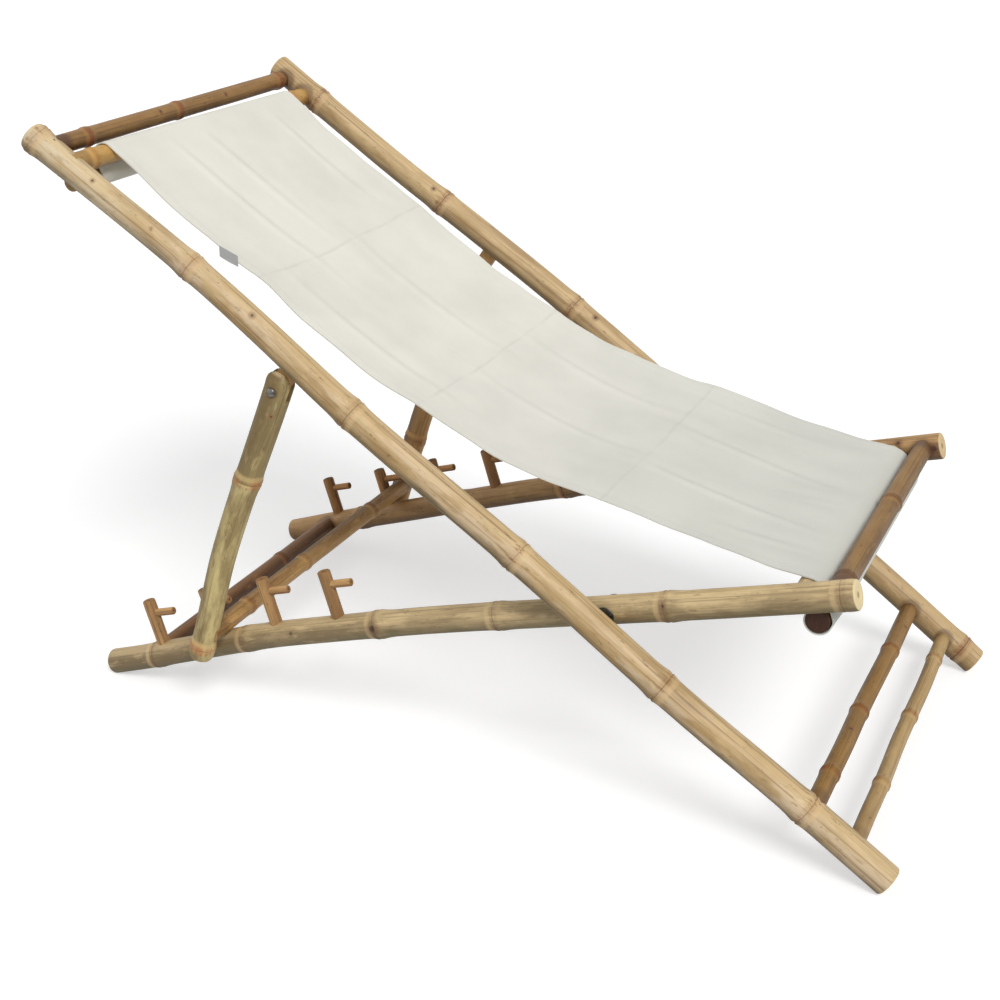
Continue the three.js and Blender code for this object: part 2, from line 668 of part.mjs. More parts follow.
// The cloth's path at one width: a pocket round the head rod, over the head sling bar,
// down to the front sling bar and into a pocket round the front rod
function slingLine(y) {
  const wrapGap = clothGap + clothThickness / 2 + barRingSwell;
  const headRod = { centre: planeAt(headRodEnds, backFrame, y), radius: headRodRadius + wrapGap, spin: 1 };
  const headWrap = { centre: planeAt(headSlingBarEnds, backFrame, y),
    radius: headSlingBarRadius + wrapGap, spin: -1 };
  const frontWrap = { centre: planeAt(frontSlingBarEnds, seatFrame, y),
    radius: frontSlingBarRadius + wrapGap, spin: -1 };
  const frontRod = { centre: planeAt(frontRodEnds, seatFrame, y),
    radius: frontRodRadius + wrapGap, spin: 1 };
  const headLeave = quarterTurn - headDip;
  const frontArrive = quarterTurn - frontDip;
  const headStart = onWrap(headWrap, headLeave);
  const frontEnd = onWrap(frontWrap, frontArrive);

  const span = frontEnd.clone().sub(headStart);
  const down = new THREE.Vector2(span.y, -span.x);
  const across = 2 * y / slingWidth;
  const seat = [];
  for (let step = 1; step < slingSteps; step += 1) {
    const share = step / slingSteps;
    const sag = crossSag * (1 - across * across) * Math.sin(Math.PI * share) ** 2;
    const point = headStart.clone().addScaledVector(span, share)
      .addScaledVector(down, readShares(seatDropShares, share));
    point.y -= sag;
    seat.push(point);
  }
  const headCross = tangentNormal(headRod, headWrap);
  const frontCross = tangentNormal(frontWrap, frontRod);
  return [
    ...pocketTail(headRod, -1, -backAngle).reverse(),
    ...wrapArc(headRod, quarterTurn / 2 - backAngle, headCross, pocketSteps),
    ...wrapArc(headWrap, headCross, headLeave, pocketSteps),
    ...seat,
    ...wrapArc(frontWrap, frontArrive, frontCross, pocketSteps),
    ...wrapArc(frontRod, frontCross, seatAngle + quarterTurn * 1.5, pocketSteps),
    ...pocketTail(frontRod, 1, seatAngle),
  ];
}

// The cloth is a thin closed sheet through the paths at evenly spaced widths
function clothGeometry() {
  const columns = [];
  for (let strip = 0; strip <= clothStrips; strip += 1) {
    columns.push(slingLine(slingWidth * (strip / clothStrips - 1 / 2)));
  }
  const rows = columns[0].length;
  const count = columns.length;
  const vertices = [];
  for (const face of [1, -1]) {
    for (let row = 0; row < rows; row += 1) {
      columns.forEach((line, strip) => {
        const before = line[Math.max(row - 1, 0)];
        const after = line[Math.min(row + 1, rows - 1)];
        const run = after.clone().sub(before).normalize().multiplyScalar(face * clothThickness / 2);
        vertices.push(line[row].x - run.y, slingWidth * (strip / clothStrips - 1 / 2), line[row].y + run.x);
      });
    }
  }
  const under = rows * count;
  const index = [];
  const quad = (a, b, c, d) => index.push(a, b, c, a, c, d);
  for (let row = 0; row < rows - 1; row += 1) {
    const near = row * count;
    const far = near + clothStrips;
    for (let at = near; at < far; at += 1) {
      quad(at, at + count, at + count + 1, at + 1);
      quad(under + at, under + at + 1, under + at + count + 1, under + at + count);
    }
    quad(near, under + near, under + near + count, near + count);
    quad(far, far + count, under + far + count, under + far);
  }
  const end = (rows - 1) * count;
  for (let strip = 0; strip < clothStrips; strip += 1) {
    quad(strip, strip + 1, under + strip + 1, under + strip);
    quad(end + strip, under + end + strip, under + end + strip + 1, end + strip + 1);
  }
  const geometry = new THREE.BufferGeometry();
  geometry.setAttribute('position', new THREE.Float32BufferAttribute(vertices, 3));
  geometry.setIndex(index);
  geometry.computeVertexNormals();
  return geometry;
}

const quarterTurn = Math.PI / 2;
const slingWidth = 2 * (seatHalfSpan - seatRailButt - slingSideGap);
const headSlingBarEnds = backBars[1].ends;
const frontSlingBarEnds = seatBars[1].ends;
addPiece(chair, 'sling', clothGeometry(), canvas);

// A small blank tag sewn beside the sling's right edge
const tagLine = slingLine(-slingWidth / 2);
const tagWorld = backPoint(tagFromFoot, 0, 0).applyMatrix4(backFrame.matrixWorld);
const tagPlace = new THREE.Vector2(tagWorld.x, tagWorld.z);
const tagPoint = tagLine.reduce((best, point) =>
  (point.distanceTo(tagPlace) < best.distanceTo(tagPlace) ? point : best));
const tag = new THREE.BoxGeometry(tagLength, tagThickness, tagDrop);
tag.rotateY(backAngle);
tag.translate(tagPoint.x, -slingWidth / 2 - clothGap - tagThickness / 2, tagPoint.y);
addPiece(chair, 'care_tag', tag, tagTape);

// The chair stands on the floor with the middle of its footprint at the origin
const box = new THREE.Box3().setFromObject(chair, true);
const middle = box.getCenter(new THREE.Vector3());
chair.position.set(-middle.x, -middle.y, -box.min.z);

export default chair;
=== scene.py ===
"""Bamboo folding recliner with a canvas sling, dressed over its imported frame."""

from __future__ import annotations

import json
import logging
import math
from dataclasses import dataclass, field
from enum import Enum
from itertools import accumulate
from typing import Callable, Iterable, Optional, Sequence, Union

import bmesh
import bpy
from mathutils import Matrix, Vector, noise

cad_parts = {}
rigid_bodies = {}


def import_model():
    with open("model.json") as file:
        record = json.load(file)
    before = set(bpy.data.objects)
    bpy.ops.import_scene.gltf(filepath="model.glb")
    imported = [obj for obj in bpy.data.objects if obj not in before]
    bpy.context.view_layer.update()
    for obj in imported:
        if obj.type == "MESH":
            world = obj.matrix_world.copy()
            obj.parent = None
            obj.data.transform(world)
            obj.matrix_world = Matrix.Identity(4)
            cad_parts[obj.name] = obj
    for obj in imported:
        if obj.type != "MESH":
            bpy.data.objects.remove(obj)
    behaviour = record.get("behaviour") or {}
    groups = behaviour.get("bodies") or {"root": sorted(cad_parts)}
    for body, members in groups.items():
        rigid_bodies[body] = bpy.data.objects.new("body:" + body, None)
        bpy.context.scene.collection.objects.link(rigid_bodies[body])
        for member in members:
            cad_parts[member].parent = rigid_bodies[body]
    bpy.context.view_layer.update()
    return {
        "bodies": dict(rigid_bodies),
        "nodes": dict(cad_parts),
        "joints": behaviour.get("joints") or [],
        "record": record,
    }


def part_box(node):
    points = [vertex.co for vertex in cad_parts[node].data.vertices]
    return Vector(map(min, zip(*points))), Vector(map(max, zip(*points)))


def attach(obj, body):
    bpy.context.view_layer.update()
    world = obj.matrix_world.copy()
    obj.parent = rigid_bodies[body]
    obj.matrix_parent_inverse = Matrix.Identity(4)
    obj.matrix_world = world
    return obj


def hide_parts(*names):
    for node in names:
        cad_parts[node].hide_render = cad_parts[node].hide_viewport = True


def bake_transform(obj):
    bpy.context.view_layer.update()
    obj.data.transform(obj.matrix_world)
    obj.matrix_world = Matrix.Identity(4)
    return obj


LOG = logging.getLogger("recliner")
Table = Sequence[tuple[float, float]]
Outline = list[tuple[float, float]]
Triple = tuple[float, float, float]
Colour = tuple[float, float, float, float]
Ends = tuple[Vector, Vector]
Point = Callable[[float, float, float], Vector]
WHITE: Colour = (1, 1, 1, 1)
STRAIGHT: Table = ((0.0, 0.0), (1.0, 0.0))
EVEN: Table = ((0.0, 1.0), (1.0, 1.0))
WAVY: Table = (
    (0, 0), (0.06, 0), (0.12, 0), (0.25, 0.5), (0.45, -0.6), (0.7, 0.8), (0.88, 0), (0.94, 0), (1, 0),
)
LEG_BEND: Table = ((0, 0), (0.06, 0), (0.6, 1), (0.88, 0.66), (1, 0.5))
RING: Table = (
    (-1, 0), (-0.5, 0.14), (-0.24, 0.5), (-0.1, 0.92), (-0.04, 1.0), (0.0, 0.5), (0.05, 0.48),
    (0.12, 0.86), (0.22, 1.0), (0.38, 0.72), (0.62, 0.28), (1, 0),
)
DISH: Table = ((0.0011, 0.0), (0.0011, 0.42), (0.0003, 0.56), (0.0, 0.7))
QUARTER = math.pi / 2
SUNK_SHARE = 0.62
SHORTEST = 0.0004
RING_REACH = 0.05
END_REACH = 0.08


class Side(Enum):
    """The two sides of the chair, as the sign of their Y."""

    RIGHT = -1
    LEFT = 1

    @property
    def word(self) -> str:
        """The side's word in node names."""
        return self.name.lower()


def tint(code: int, gain: float = 1.0) -> Colour:
    """Turns a display colour into the linear colour that a shader takes.

    Args:
        code: The colour as 0xRRGGBB.
        gain: A factor on its brightness.

    Returns:
        Linear red, green, blue and an alpha of 1.
    """
    parts = [((code >> shift) & 255) / 255 for shift in (16, 8, 0)]
    red, green, blue = (p / 12.92 if p <= 0.04045 else ((p + 0.055) / 1.055) ** 2.4 for p in parts)
    return red * gain, green * gain, blue * gain, 1.0


def between(first: float, second: float, share: float) -> float:
    """The value a share of the way from the first to the second."""
    return first + (second - first) * share


def ease(share: float) -> float:
    """A smooth step from 0 to 1, held at both ends."""
    part = min(max(share, 0.0), 1.0)
    return part * part * (3 - 2 * part)


def hump(away: float) -> float:
    """1 in the middle, falling smoothly to 0 on both sides."""
    return math.exp(-(away**2))


def uneven(x: float, y: float, z: float) -> float:
    """Smooth noise from -1 to 1 at one place."""
    return noise.noise(Vector((x, y, z)))


def cubic(part: float) -> tuple[float, float, float, float]:
    """The weights of a cubic curve's start, way out, end and way in."""
    square, cube = part**2, part**3
    return 2 * cube - 3 * square + 1, cube - 2 * square + part, 3 * square - 2 * cube, cube - square


def read_shares(table: Table, share: float) -> float:
    """Reads a smooth curve through the pairs of a share table.

    Args:
        table: Pairs of a share of the length and a value.
        share: Where to read it.

    Returns:
        The value at that share.
    """
    last = len(table) - 1
    upper = next((i for i, pair in enumerate(table) if pair[0] >= share), last)
    upper = min(max(upper, 1), last)
    (x0, y0), (x1, y1) = table[upper - 1], table[upper]
    span = x1 - x0

    def slope(index: int) -> float:
        """The curve's slope at one pair."""
        low, high = table[max(index - 1, 0)], table[min(index + 1, last)]
        return (high[1] - low[1]) / (high[0] - low[0])

    start, out, end, back = cubic(min(max((share - x0) / span, 0.0), 1.0))
    return start * y0 + out * span * slope(upper - 1) + end * y1 + back * span * slope(upper)


def through(points: Sequence[Vector], steps: int) -> list[Vector]:
    """Runs a smooth curve through a few points.

    Args:
        points: The points.
        steps: How many even steps it takes.

    Returns:
        The curve's points, without the first one.
    """
    last = len(points) - 1
    found = []
    for step in range(1, steps + 1):
        place = last * step / steps
        index = min(int(place), last - 1)
        before, here = points[max(index - 1, 0)], points[index]
        after, beyond = points[index + 1], points[min(index + 2, last)]
        start, out, end, back = cubic(place - index)
        found.append(here * start + (after - before) / 2 * out + after * end + (beyond - here) / 2 * back)
    return found


class Sock:
    """A node's output, on which arithmetic adds Math nodes."""

    def __init__(self, graph: "Graph", link: Optional[bpy.types.NodeSocket]) -> None:
        """Keeps the output and the graph that it belongs to."""
        self.graph = graph
        self.link = link

    def math(self, operation: str, *others: "Value") -> "Sock":
        """Adds a Math node with this output first."""
        return self.graph.calc(operation, self, *others)

    def __add__(self, other: "Value") -> "Sock":
        """self + other, and other + self."""
        return self.math("ADD", other)

    def __sub__(self, other: "Value") -> "Sock":
        """self - other."""
        return self.math("SUBTRACT", other)

    def __rsub__(self, other: "Value") -> "Sock":
        """other - self."""
        return self.graph.calc("SUBTRACT", other, self)

    def __mul__(self, other: "Value") -> "Sock":
        """self * other, and other * self."""
        return self.math("MULTIPLY", other)

    def __truediv__(self, other: "Value") -> "Sock":
        """self / other."""
        return self.math("DIVIDE", other)

    def __rtruediv__(self, other: "Value") -> "Sock":
        """other / self."""
        return self.graph.calc("DIVIDE", other, self)

    __radd__ = __add__
    __rmul__ = __mul__


Value = Union[Sock, float, Sequence[float]]
Coat = tuple[Value, Value]


class Graph:
    """The node tree of one material."""

    def __init__(self, tree: bpy.types.NodeTree) -> None:
        """Empties the tree and keeps it."""
        self.tree = tree
        tree.nodes.clear()

    def node(
        self, kind: str, settings: Optional[dict] = None, inputs: Optional[dict] = None, output: int = 0
    ) -> Sock:
        """Adds any node.

        Args:
            kind: The node's type.
            settings: Its properties, which are set first.
            inputs: Values or links of its sockets, by name or number.
            output: The output that is wanted.

        Returns:
            That output.
        """
        made = self.tree.nodes.new(kind)
        for name, value in (settings or {}).items():
            setattr(made, name, value)
        for key, value in (inputs or {}).items():
            socket = made.inputs[key]
            if isinstance(value, Sock):
                self.tree.links.new(value.link, socket)
            else:
                socket.default_value = value
        return Sock(self, made.outputs[output] if len(made.outputs) else None)

    def calc(self, operation: str, *values: Value) -> Sock:
        """Adds a Math node over the given values."""
        return self.node("ShaderNodeMath", {"operation": operation}, dict(enumerate(values)))

    def attribute(self, name: str) -> Sock:
        """Reads a mesh attribute as a vector."""
        return self.node("ShaderNodeAttribute", {"attribute_name": name}, None, 1)

    def place(self) -> Sock:
        """Reads the Object coordinates."""
        return self.node("ShaderNodeTexCoord", None, None, 3)

    def split(self, vector: Sock) -> tuple[Sock, ...]:
        """Splits a vector into its three parts."""
        made = self.node("ShaderNodeSeparateXYZ", None, {0: vector}).link.node
        return tuple(Sock(self, output) for output in made.outputs)

    def stretch(self, vector: Sock, scale: Sequence[float], shift: Sequence[float] = (0, 0, 0)) -> Sock:
        """Scales a vector by one vector and adds another."""
        settings = {"operation": "MULTIPLY_ADD"}
        return self.node("ShaderNodeVectorMath", settings, {0: vector, 1: scale, 2: shift})

    def noise(self, vector: Sock, scale: float, detail: float, roughness: float) -> Sock:
        """Adds a noise texture and gives its value."""
        inputs = {"Vector": vector, "Scale": scale, "Detail": detail, "Roughness": roughness}
        return self.node("ShaderNodeTexNoise", None, inputs)

    def step(self, value: Sock, low: float, high: float) -> Sock:
        """A smooth step from 0 at low to 1 at high."""
        inputs = {"Value": value, "From Min": low, "From Max": high}
        return self.node("ShaderNodeMapRange", {"interpolation_type": "SMOOTHSTEP"}, inputs)

    def band(self, value: Sock, centre: float, half: float) -> Sock:
        """A soft bump of 1 at centre that falls to 0 at half away."""
        return 1.0 - self.step((value - centre).math("ABSOLUTE"), half * 0.25, half)

    def mix(self, factor: Value, first: Value, second: Value) -> Sock:
        """Mixes two colours."""
        settings = {"data_type": "RGBA", "blend_type": "MIX", "clamp_factor": True}
        return self.node("ShaderNodeMix", settings, {0: factor, 6: first, 7: second}, 2)

    def coated(self, colour: Value, coats: Iterable[Coat]) -> Value:
        """Lays coats over a colour, one after the other.

        Args:
            colour: The colour below them.
            coats: Pairs of a mask and a colour.

        Returns:
            The colour that shows.
        """
        for mask, coat in coats:
            colour = self.mix(mask, colour, coat)
        return colour

    def background_ray(self) -> Sock:
        """Tells the rays that see the background straight, off gloss or through glass.

        Returns:
            1 for such a ray, and 0 for any other.
        """
        seen = self.node("ShaderNodeLightPath")
        outputs = seen.link.node.outputs
        for name in ("Is Glossy Ray", "Is Transmission Ray"):
            seen = seen.math("MAXIMUM", Sock(self, outputs[name]))
        return seen

    def bump(self, height: Sock, distance: float, strength: float) -> Sock:
        """Adds a Bump node over a height from 0 to 1."""
        inputs = {"Height": height, "Distance": distance, "Strength": strength}
        return self.node("ShaderNodeBump", None, inputs)

    def finish(self, inputs: dict) -> None:
        """Adds the surface shader with these inputs and the output."""
        shader = self.node("ShaderNodeBsdfPrincipled", None, inputs)
        self.node("ShaderNodeOutputMaterial", None, {"Surface": shader})


def new_material(name: str) -> tuple[bpy.types.Material, Graph]:
    """Makes an empty material.

    Args:
        name: The material's name.

    Returns:
        The material and the graph that fills it.
    """
    material = bpy.data.materials.new(name)
    material.use_nodes = True
    return material, Graph(material.node_tree)


@dataclass(frozen=True)
class Spot:
    """A place on a pole's unbent surface, and how large the mark there is."""

    along: float
    across: float
    up: float
    size: float


class Scar(Spot):
    """A bud scar."""


class Mortise(Spot):
    """A hole where another pole goes in."""


class Grain:
    """The maps and noises that one pole's skin is painted with."""

    def __init__(self, graph: Graph, seed: float, radius: float) -> None:
        """Reads the pole's maps and makes its noises.

        Args:
            graph: The material's graph.
            seed: Shifts the noises, so that no two poles match.
            radius: The pole's radius in metres.
        """
        self.graph = graph
        self.radius = radius
        self.shift = (seed * 3.1, seed * 1.7, seed * 0.9)
        self.place = graph.attribute("grain")
        self.ring, self.face, self.end = graph.split(graph.attribute("marks"))
        self.near, self.tone, self.faded = graph.split(graph.attribute("tones"))
        _, self.across, self.up = graph.split(self.place)
        self.fibre = self.noise(5, 900, 3, 0.65)
        self.thread = self.noise(2.6, 230, 3, 0.62)
        self.cloud = self.noise(13, 40, 4, 0.6)
        self.drift = self.noise(3.2, 26, 3, 0.55)
        self.fleck = self.noise(70, 190, 3, 0.65)
        self.wander = (self.cloud - 0.5) * 0.006
        self.by_ring = 1.0 - graph.step(self.near, 0.02, 0.032)
        broken = graph.step(self.drift * 0.5 + self.fibre * 0.5, 0.34, 0.56)
        self.line = graph.band(self.ring, -0.0003, 0.0013) * self.by_ring * broken

    def noise(self, along: float, across: float, detail: float, roughness: float) -> Sock:
        """Adds a noise that is stretched along the pole."""
        place = self.graph.stretch(self.place, (along, across, across), self.shift)
        return self.graph.noise(place, 1, detail, roughness)

    def rise(self, first: Sock, first_share: float, second: Sock, second_share: float) -> Sock:
        """The height on the pole, from -1 below to 1 on top, roughened by two noises."""
        return self.up / self.radius + (first - 0.5) * first_share + (second - 0.5) * second_share

    def distance(self, spot: Spot) -> Sock:
        """The distance from a spot on the unbent surface."""
        inputs = {0: self.place, 1: (spot.along, spot.across, spot.up)}
        return self.graph.node("ShaderNodeVectorMath", {"operation": "DISTANCE"}, inputs, 1)


@dataclass(frozen=True)
class BambooFinish:
    """The skin of a bamboo pole: its colours and how lively it is."""

    slot: str
    skin: int
    shade: int
    streak: int
    ring: int
    # The underside's colour: painted shade on the lower side, together with weathering.
    belly: int
    cut: int = 0xDCC398
    pith: int = 0xB99A68
    collar: int = 0x4A2E1C
    blush: int = 0xD9C3A6
    bleached: int = 0xD9CBAE
    streaks: float = 0.35
    mottle: float = 0.7
    ring_strength: float = 0.6
    ring_reach: float = 0.014
    line_strength: float = 0.5
    # How strong the painted highlight along the pole's top is.
    crown_strength: float = 0.55
    # How strong the underside's painted shade and weathering is.
    belly_strength: float = 0.8
    blush_strength: float = 0.0
    # The ends' painted shade and stain: how strong it is and how far it reaches.
    collar_strength: float = 0.0
    collar_reach: float = 0.04
    roughness: float = 0.42

    def skin_coats(self, grain: Grain) -> list[Coat]:
        """The shades, patches and streaks between the rings, and a painted highlight along the top.

        Args:
            grain: The pole's maps.

        Returns:
            The coats, from the lowest to the highest.
        """
        step, shade = grain.graph.step, self.mottle
        blotch = grain.noise(26, 105, 4, 0.6)
        # Painted highlight: the skin is painted lighter along the pole's top, where the lamps fall.
        top_highlight = step(grain.rise(grain.thread, 1.6, grain.drift, 1.4), 0.1, 0.9)
        coats: list[Coat] = [
            (step(grain.cloud, 0.38, 0.64) * shade, tint(self.shade)),
            (grain.tone * shade * 0.75, tint(self.shade, 0.86)),
        ]
        if self.blush_strength:
            patch = step(grain.noise(9, 55, 3, 0.6), 0.47, 0.6)
            coats.append((patch * self.blush_strength, tint(self.blush)))
        return coats + [
            (grain.faded * step(grain.cloud, 0.3, 0.6), tint(self.bleached)),
            (step(blotch, 0.52, 0.68) * shade * 0.6, tint(self.shade, 0.85)),
            ((1.0 - step(blotch, 0.32, 0.46)) * shade * 0.5, tint(self.skin, 1.18)),
            (top_highlight * self.crown_strength, tint(self.skin, 1.2)),
            (step(grain.thread, 0.5, 0.66) * self.streaks, tint(self.streak)),
            (step(grain.drift, 0.52, 0.66) * self.streaks * 0.8, tint(self.streak, 1.15)),
            (step(grain.fibre, 0.5, 0.78) * 0.22, tint(self.streak, 0.8)),
        ]

    def ring_coats(self, grain: Grain) -> list[Coat]:
        """The warm glow, the wax and the dark lines of the growth rings.

        Args:
            grain: The pole's maps.

        Returns:
            The coats, from the lowest to the highest.
        """
        step, band, by_ring = grain.graph.step, grain.graph.band, grain.by_ring
        place = grain.ring + grain.wander
        glow = band(place, -0.003, self.ring_reach) * by_ring * self.ring_strength
        after = band(grain.ring, 0.0046, 0.003) * by_ring * step(grain.thread, 0.4, 0.6)
        return [
            (glow * step(grain.fibre * 0.5 + grain.cloud * 0.5, 0.38, 0.6), tint(self.ring)),
            (band(place, -0.009, 0.006) * by_ring * 0.4, tint(self.skin, 1.22)),
            (grain.line * self.line_strength, tint(self.collar)),
            (after * 0.5 * self.ring_strength, tint(self.ring, 0.6)),
        ]

    def spot_coats(self, grain: Grain, spots: Iterable[Spot]) -> list[Coat]:
        """The darkened ends, painted shade at the joints together with stain, the bud scars, and the dark
        rims round the mortises, painted shade round each joint with a dark joint line.

        Args:
            grain: The pole's maps.
            spots: The scars and the mortises.

        Returns:
            The coats, from the lowest to the highest.
        """
        step, wander = grain.graph.step, grain.wander
        coats: list[Coat] = []
        if self.collar_strength:
            # Painted shade near the ends, where a bar goes into its rail, together with stain.
            end_shade_and_stain = 1.0 - step(grain.end + wander * 2.0, self.collar_reach * 0.6, self.collar_reach)
            coats.append((end_shade_and_stain * self.collar_strength, tint(self.collar)))
        for spot in spots:
            away, size = grain.distance(spot), spot.size
            if isinstance(spot, Scar):
                halo = 1.0 - step(away + wander * 0.5, size * 0.6, size * 1.7)
                heart = 1.0 - step(away, size * 0.25, size * 0.7)
                coats += [(halo * 0.55, tint(self.ring, 0.6)), (heart * 0.9, tint(self.collar, 0.6))]
            else:
                # Painted shade round the joint, with a dark joint line at the hole.
                rim = 1.0 - step(away + wander, size * 1.05, size * 1.6)
                coats.append((rim * 0.55, tint(self.collar, 1.1)))
        return coats

    def sawn_end(self, grain: Grain) -> Sock:
        """The sawn end, with its layers, its pores and its middle painted dark as painted shade for the
        hollow.

        Args:
            grain: The pole's maps.

        Returns:
            Its colour.
        """
        graph = grain.graph
        radial = (grain.across * grain.across + grain.up * grain.up).math("SQRT") / grain.radius
        pores = graph.step(graph.noise(grain.place, 900, 2, 0.6), 0.45, 0.7)
        layers = (radial * 26.0 + grain.cloud * 3.0).math("SINE") * 0.5 + 0.5
        sawn = graph.mix(pores * 0.45 + layers * 0.2, tint(self.cut), tint(self.pith))
        # Painted shade: the middle of the end is painted dark for the hollow of the stem, which the shallow
        # dish doesn't model.
        return graph.mix(1.0 - graph.step(radial, 0.12, 0.3), sawn, tint(self.pith, 0.6))

    def material(
        self, name: str, seed: float, radius: float, spots: Iterable[Spot] = ()
    ) -> bpy.types.Material:
        """Builds the material for one pole.

        Args:
            name: The material's name.
            seed: Shifts the pattern, so that no two poles match.
            radius: The pole's radius in metres.
            spots: The bud scars and the mortises on this pole.

        Returns:
            The material.
        """
        material, graph = new_material(name)
        grain = Grain(graph, seed, radius)
        # The underside is painted darker: painted shade on the lower side, together with its weathering.
        under = 1.0 - graph.step(grain.rise(grain.thread, 1.3, grain.cloud, 1.5), -0.85, 0.1)
        coats = [
            *self.skin_coats(grain),
            (under * self.belly_strength, tint(self.belly)),
            (graph.step(grain.fleck, 0.6, 0.74) * (0.25 + self.streaks * 0.6), tint(self.streak, 0.55)),
            *self.ring_coats(grain),
            *self.spot_coats(grain, spots),
            (grain.face, self.sawn_end(grain)),
        ]
        height = grain.fibre * 0.5 + grain.thread * 0.8 - grain.line * 1.2
        height = height + grain.fleck * 0.4 + grain.cloud * 0.5
        graph.finish(
            {
                "Base Color": graph.coated(tint(self.skin), coats),
                "Roughness": self.roughness + grain.cloud * 0.2 + grain.face * 0.3 + under * 0.12,
                "Specular IOR Level": 0.4,
                "Normal": graph.bump(height, 0.0006, 0.6),
            }
        )
        return material


@dataclass(frozen=True)
class SteelFinish:
    """Zinc plated steel, dulled by weather."""

    slot: str = "steel"
    bright: int = 0x706F6C
    dull: int = 0x45413C

    def material(self, name: str) -> bpy.types.Material:
        """Builds the material.

        Args:
            name: The material's name.

        Returns:
            The material.
        """
        material, graph = new_material(name)
        place = graph.place()
        fine = graph.noise(place, 1400, 2, 0.6)
        stain = graph.step(graph.noise(place, 160, 3, 0.6), 0.45, 0.7)
        graph.finish(
            {
                "Base Color": graph.mix(stain, tint(self.bright), tint(self.dull)),
                "Metallic": 0.9,
                "Roughness": 0.28 + stain * 0.25 + fine * 0.08,
                "Normal": graph.bump(fine, 0.0002, 0.3),
            }
        )
        return material


@dataclass(frozen=True)
class SplitFinish:
    """Plain split timber, as on the tongues."""

    pale: int = 0xB48C56
    grain: int = 0x7D5A36
    stain: int = 0x8E5F38

    def material(self, name: str) -> bpy.types.Material:
        """Builds the material.

        Args:
            name: The material's name.

        Returns:
            The material.
        """
        material, graph = new_material(name)
        place = graph.place()
        fibre = graph.noise(graph.stretch(place, (420, 420, 18)), 1, 3, 0.6)
        cloud = graph.noise(place, 60, 2, 0.5)
        coats = (
            (graph.step(fibre, 0.4, 0.7) * 0.6, tint(self.grain)),
            (graph.step(cloud, 0.45, 0.7) * 0.4, tint(self.stain)),
        )
        colour, rough = graph.coated(tint(self.pale), coats), 0.55 + cloud * 0.15
        graph.finish({"Base Color": colour, "Roughness": rough, "Normal": graph.bump(fibre, 0.0004, 0.5)})
        return material


@dataclass(frozen=True)
class ClothFinish:
    """Plain woven cotton with stitched hems."""

    slot: str
    thread: int
    shade: int
    half: float
    pitch: float = 0.0011
    hem: float = 0.014
    stitch: float = 0.0042
    folds: tuple[float, ...] = ()
    seams: tuple[float, ...] = ()
    # dull is the span of the cloth, in metres along it, that is painted darker towards the front in the
    # colour dull_shade: painted shade on the lower, flatter part.
    dull: tuple[float, float] = (0.0, 1.0)
    dull_shade: int = 0xC9CBC4

    def material(self, name: str) -> bpy.types.Material:
        """Builds the material, which reads the cloth's own map in metres.

        Args:
            name: The material's name.

        Returns:
            The material.
        """
        material, graph = new_material(name)
        plane = graph.node("ShaderNodeUVMap", {"uv_map": "cloth"})
        across, along, _ = graph.split(plane)

        def wave(value: Sock, pitch: float) -> Sock:
            """A sine over one direction of the cloth."""
            return (value * (2 * math.pi / pitch)).math("SINE")

        weave = (wave(across, self.pitch) * wave(along, self.pitch)) * 0.5 + 0.5
        slub = graph.noise(graph.stretch(plane, (22, 900, 1)), 1, 2, 0.6)
        slub_long = graph.noise(graph.stretch(plane, (900, 22, 1), (7, 3, 0)), 1, 2, 0.6)
        cloud = graph.noise(graph.stretch(plane, (7, 7, 1), (2, 5, 0)), 1, 3, 0.55)
        crumple = graph.noise(graph.stretch(plane, (26, 9, 1), (4, 1, 0)), 1, 3, 0.6)
        # Painted shade: the cloth is painted darker towards the front, where its lower, flatter part takes
        # less light.
        first, last = self.dull
        front_shade_mask = graph.step(along + (cloud - 0.5) * 0.3, first + 0.25 * (last - first), last)

        row = graph.band(self.half - across.math("ABSOLUTE"), self.hem, 0.0008)
        stitches = row * graph.step(wave(along, self.stitch), -0.4, 0.2)
        cross = graph.step(wave(across, self.stitch), -0.4, 0.2)
        for seam in self.seams:
            stitches = stitches + graph.band(along, seam, 0.0009) * cross
        # crease is painted shade: darker lines along the hem's stitch row and in the cross folds.
        crease = row * 0.4
        for fold in self.folds:
            line = graph.band(along + (cloud - 0.5) * 0.012, fold, 0.0035)
            crease = crease + line * graph.step(crumple, 0.3, 0.6)
        coats = (
            (graph.step(cloud, 0.35, 0.7) * 0.5, tint(self.shade)),
            (front_shade_mask * 0.75, tint(self.dull_shade)),
            (graph.step(slub, 0.55, 0.8) * 0.12, tint(self.shade, 0.8)),
            (graph.step(slub_long, 0.55, 0.8) * 0.12, tint(self.shade, 0.8)),
            (weave * 0.06, tint(self.shade, 0.75)),
            # Painted shade in the folds and along the hem row.
            (crease * 0.22, tint(self.shade, 0.72)),
            (stitches * 0.5, tint(self.thread, 1.05)),
        )
        height = weave * 0.25 + slub * 0.25 + slub_long * 0.25 + crumple * 1.4 + stitches * 0.9 - crease * 0.5
        graph.finish(
            {
                "Base Color": graph.coated(tint(self.thread), coats),
                "Roughness": 0.88,
                "Specular IOR Level": 0.2,
                "Sheen Weight": 0.12,
                "Sheen Roughness": 0.5,
                "Normal": graph.bump(height, 0.0006, 0.5),
            }
        )
        return material


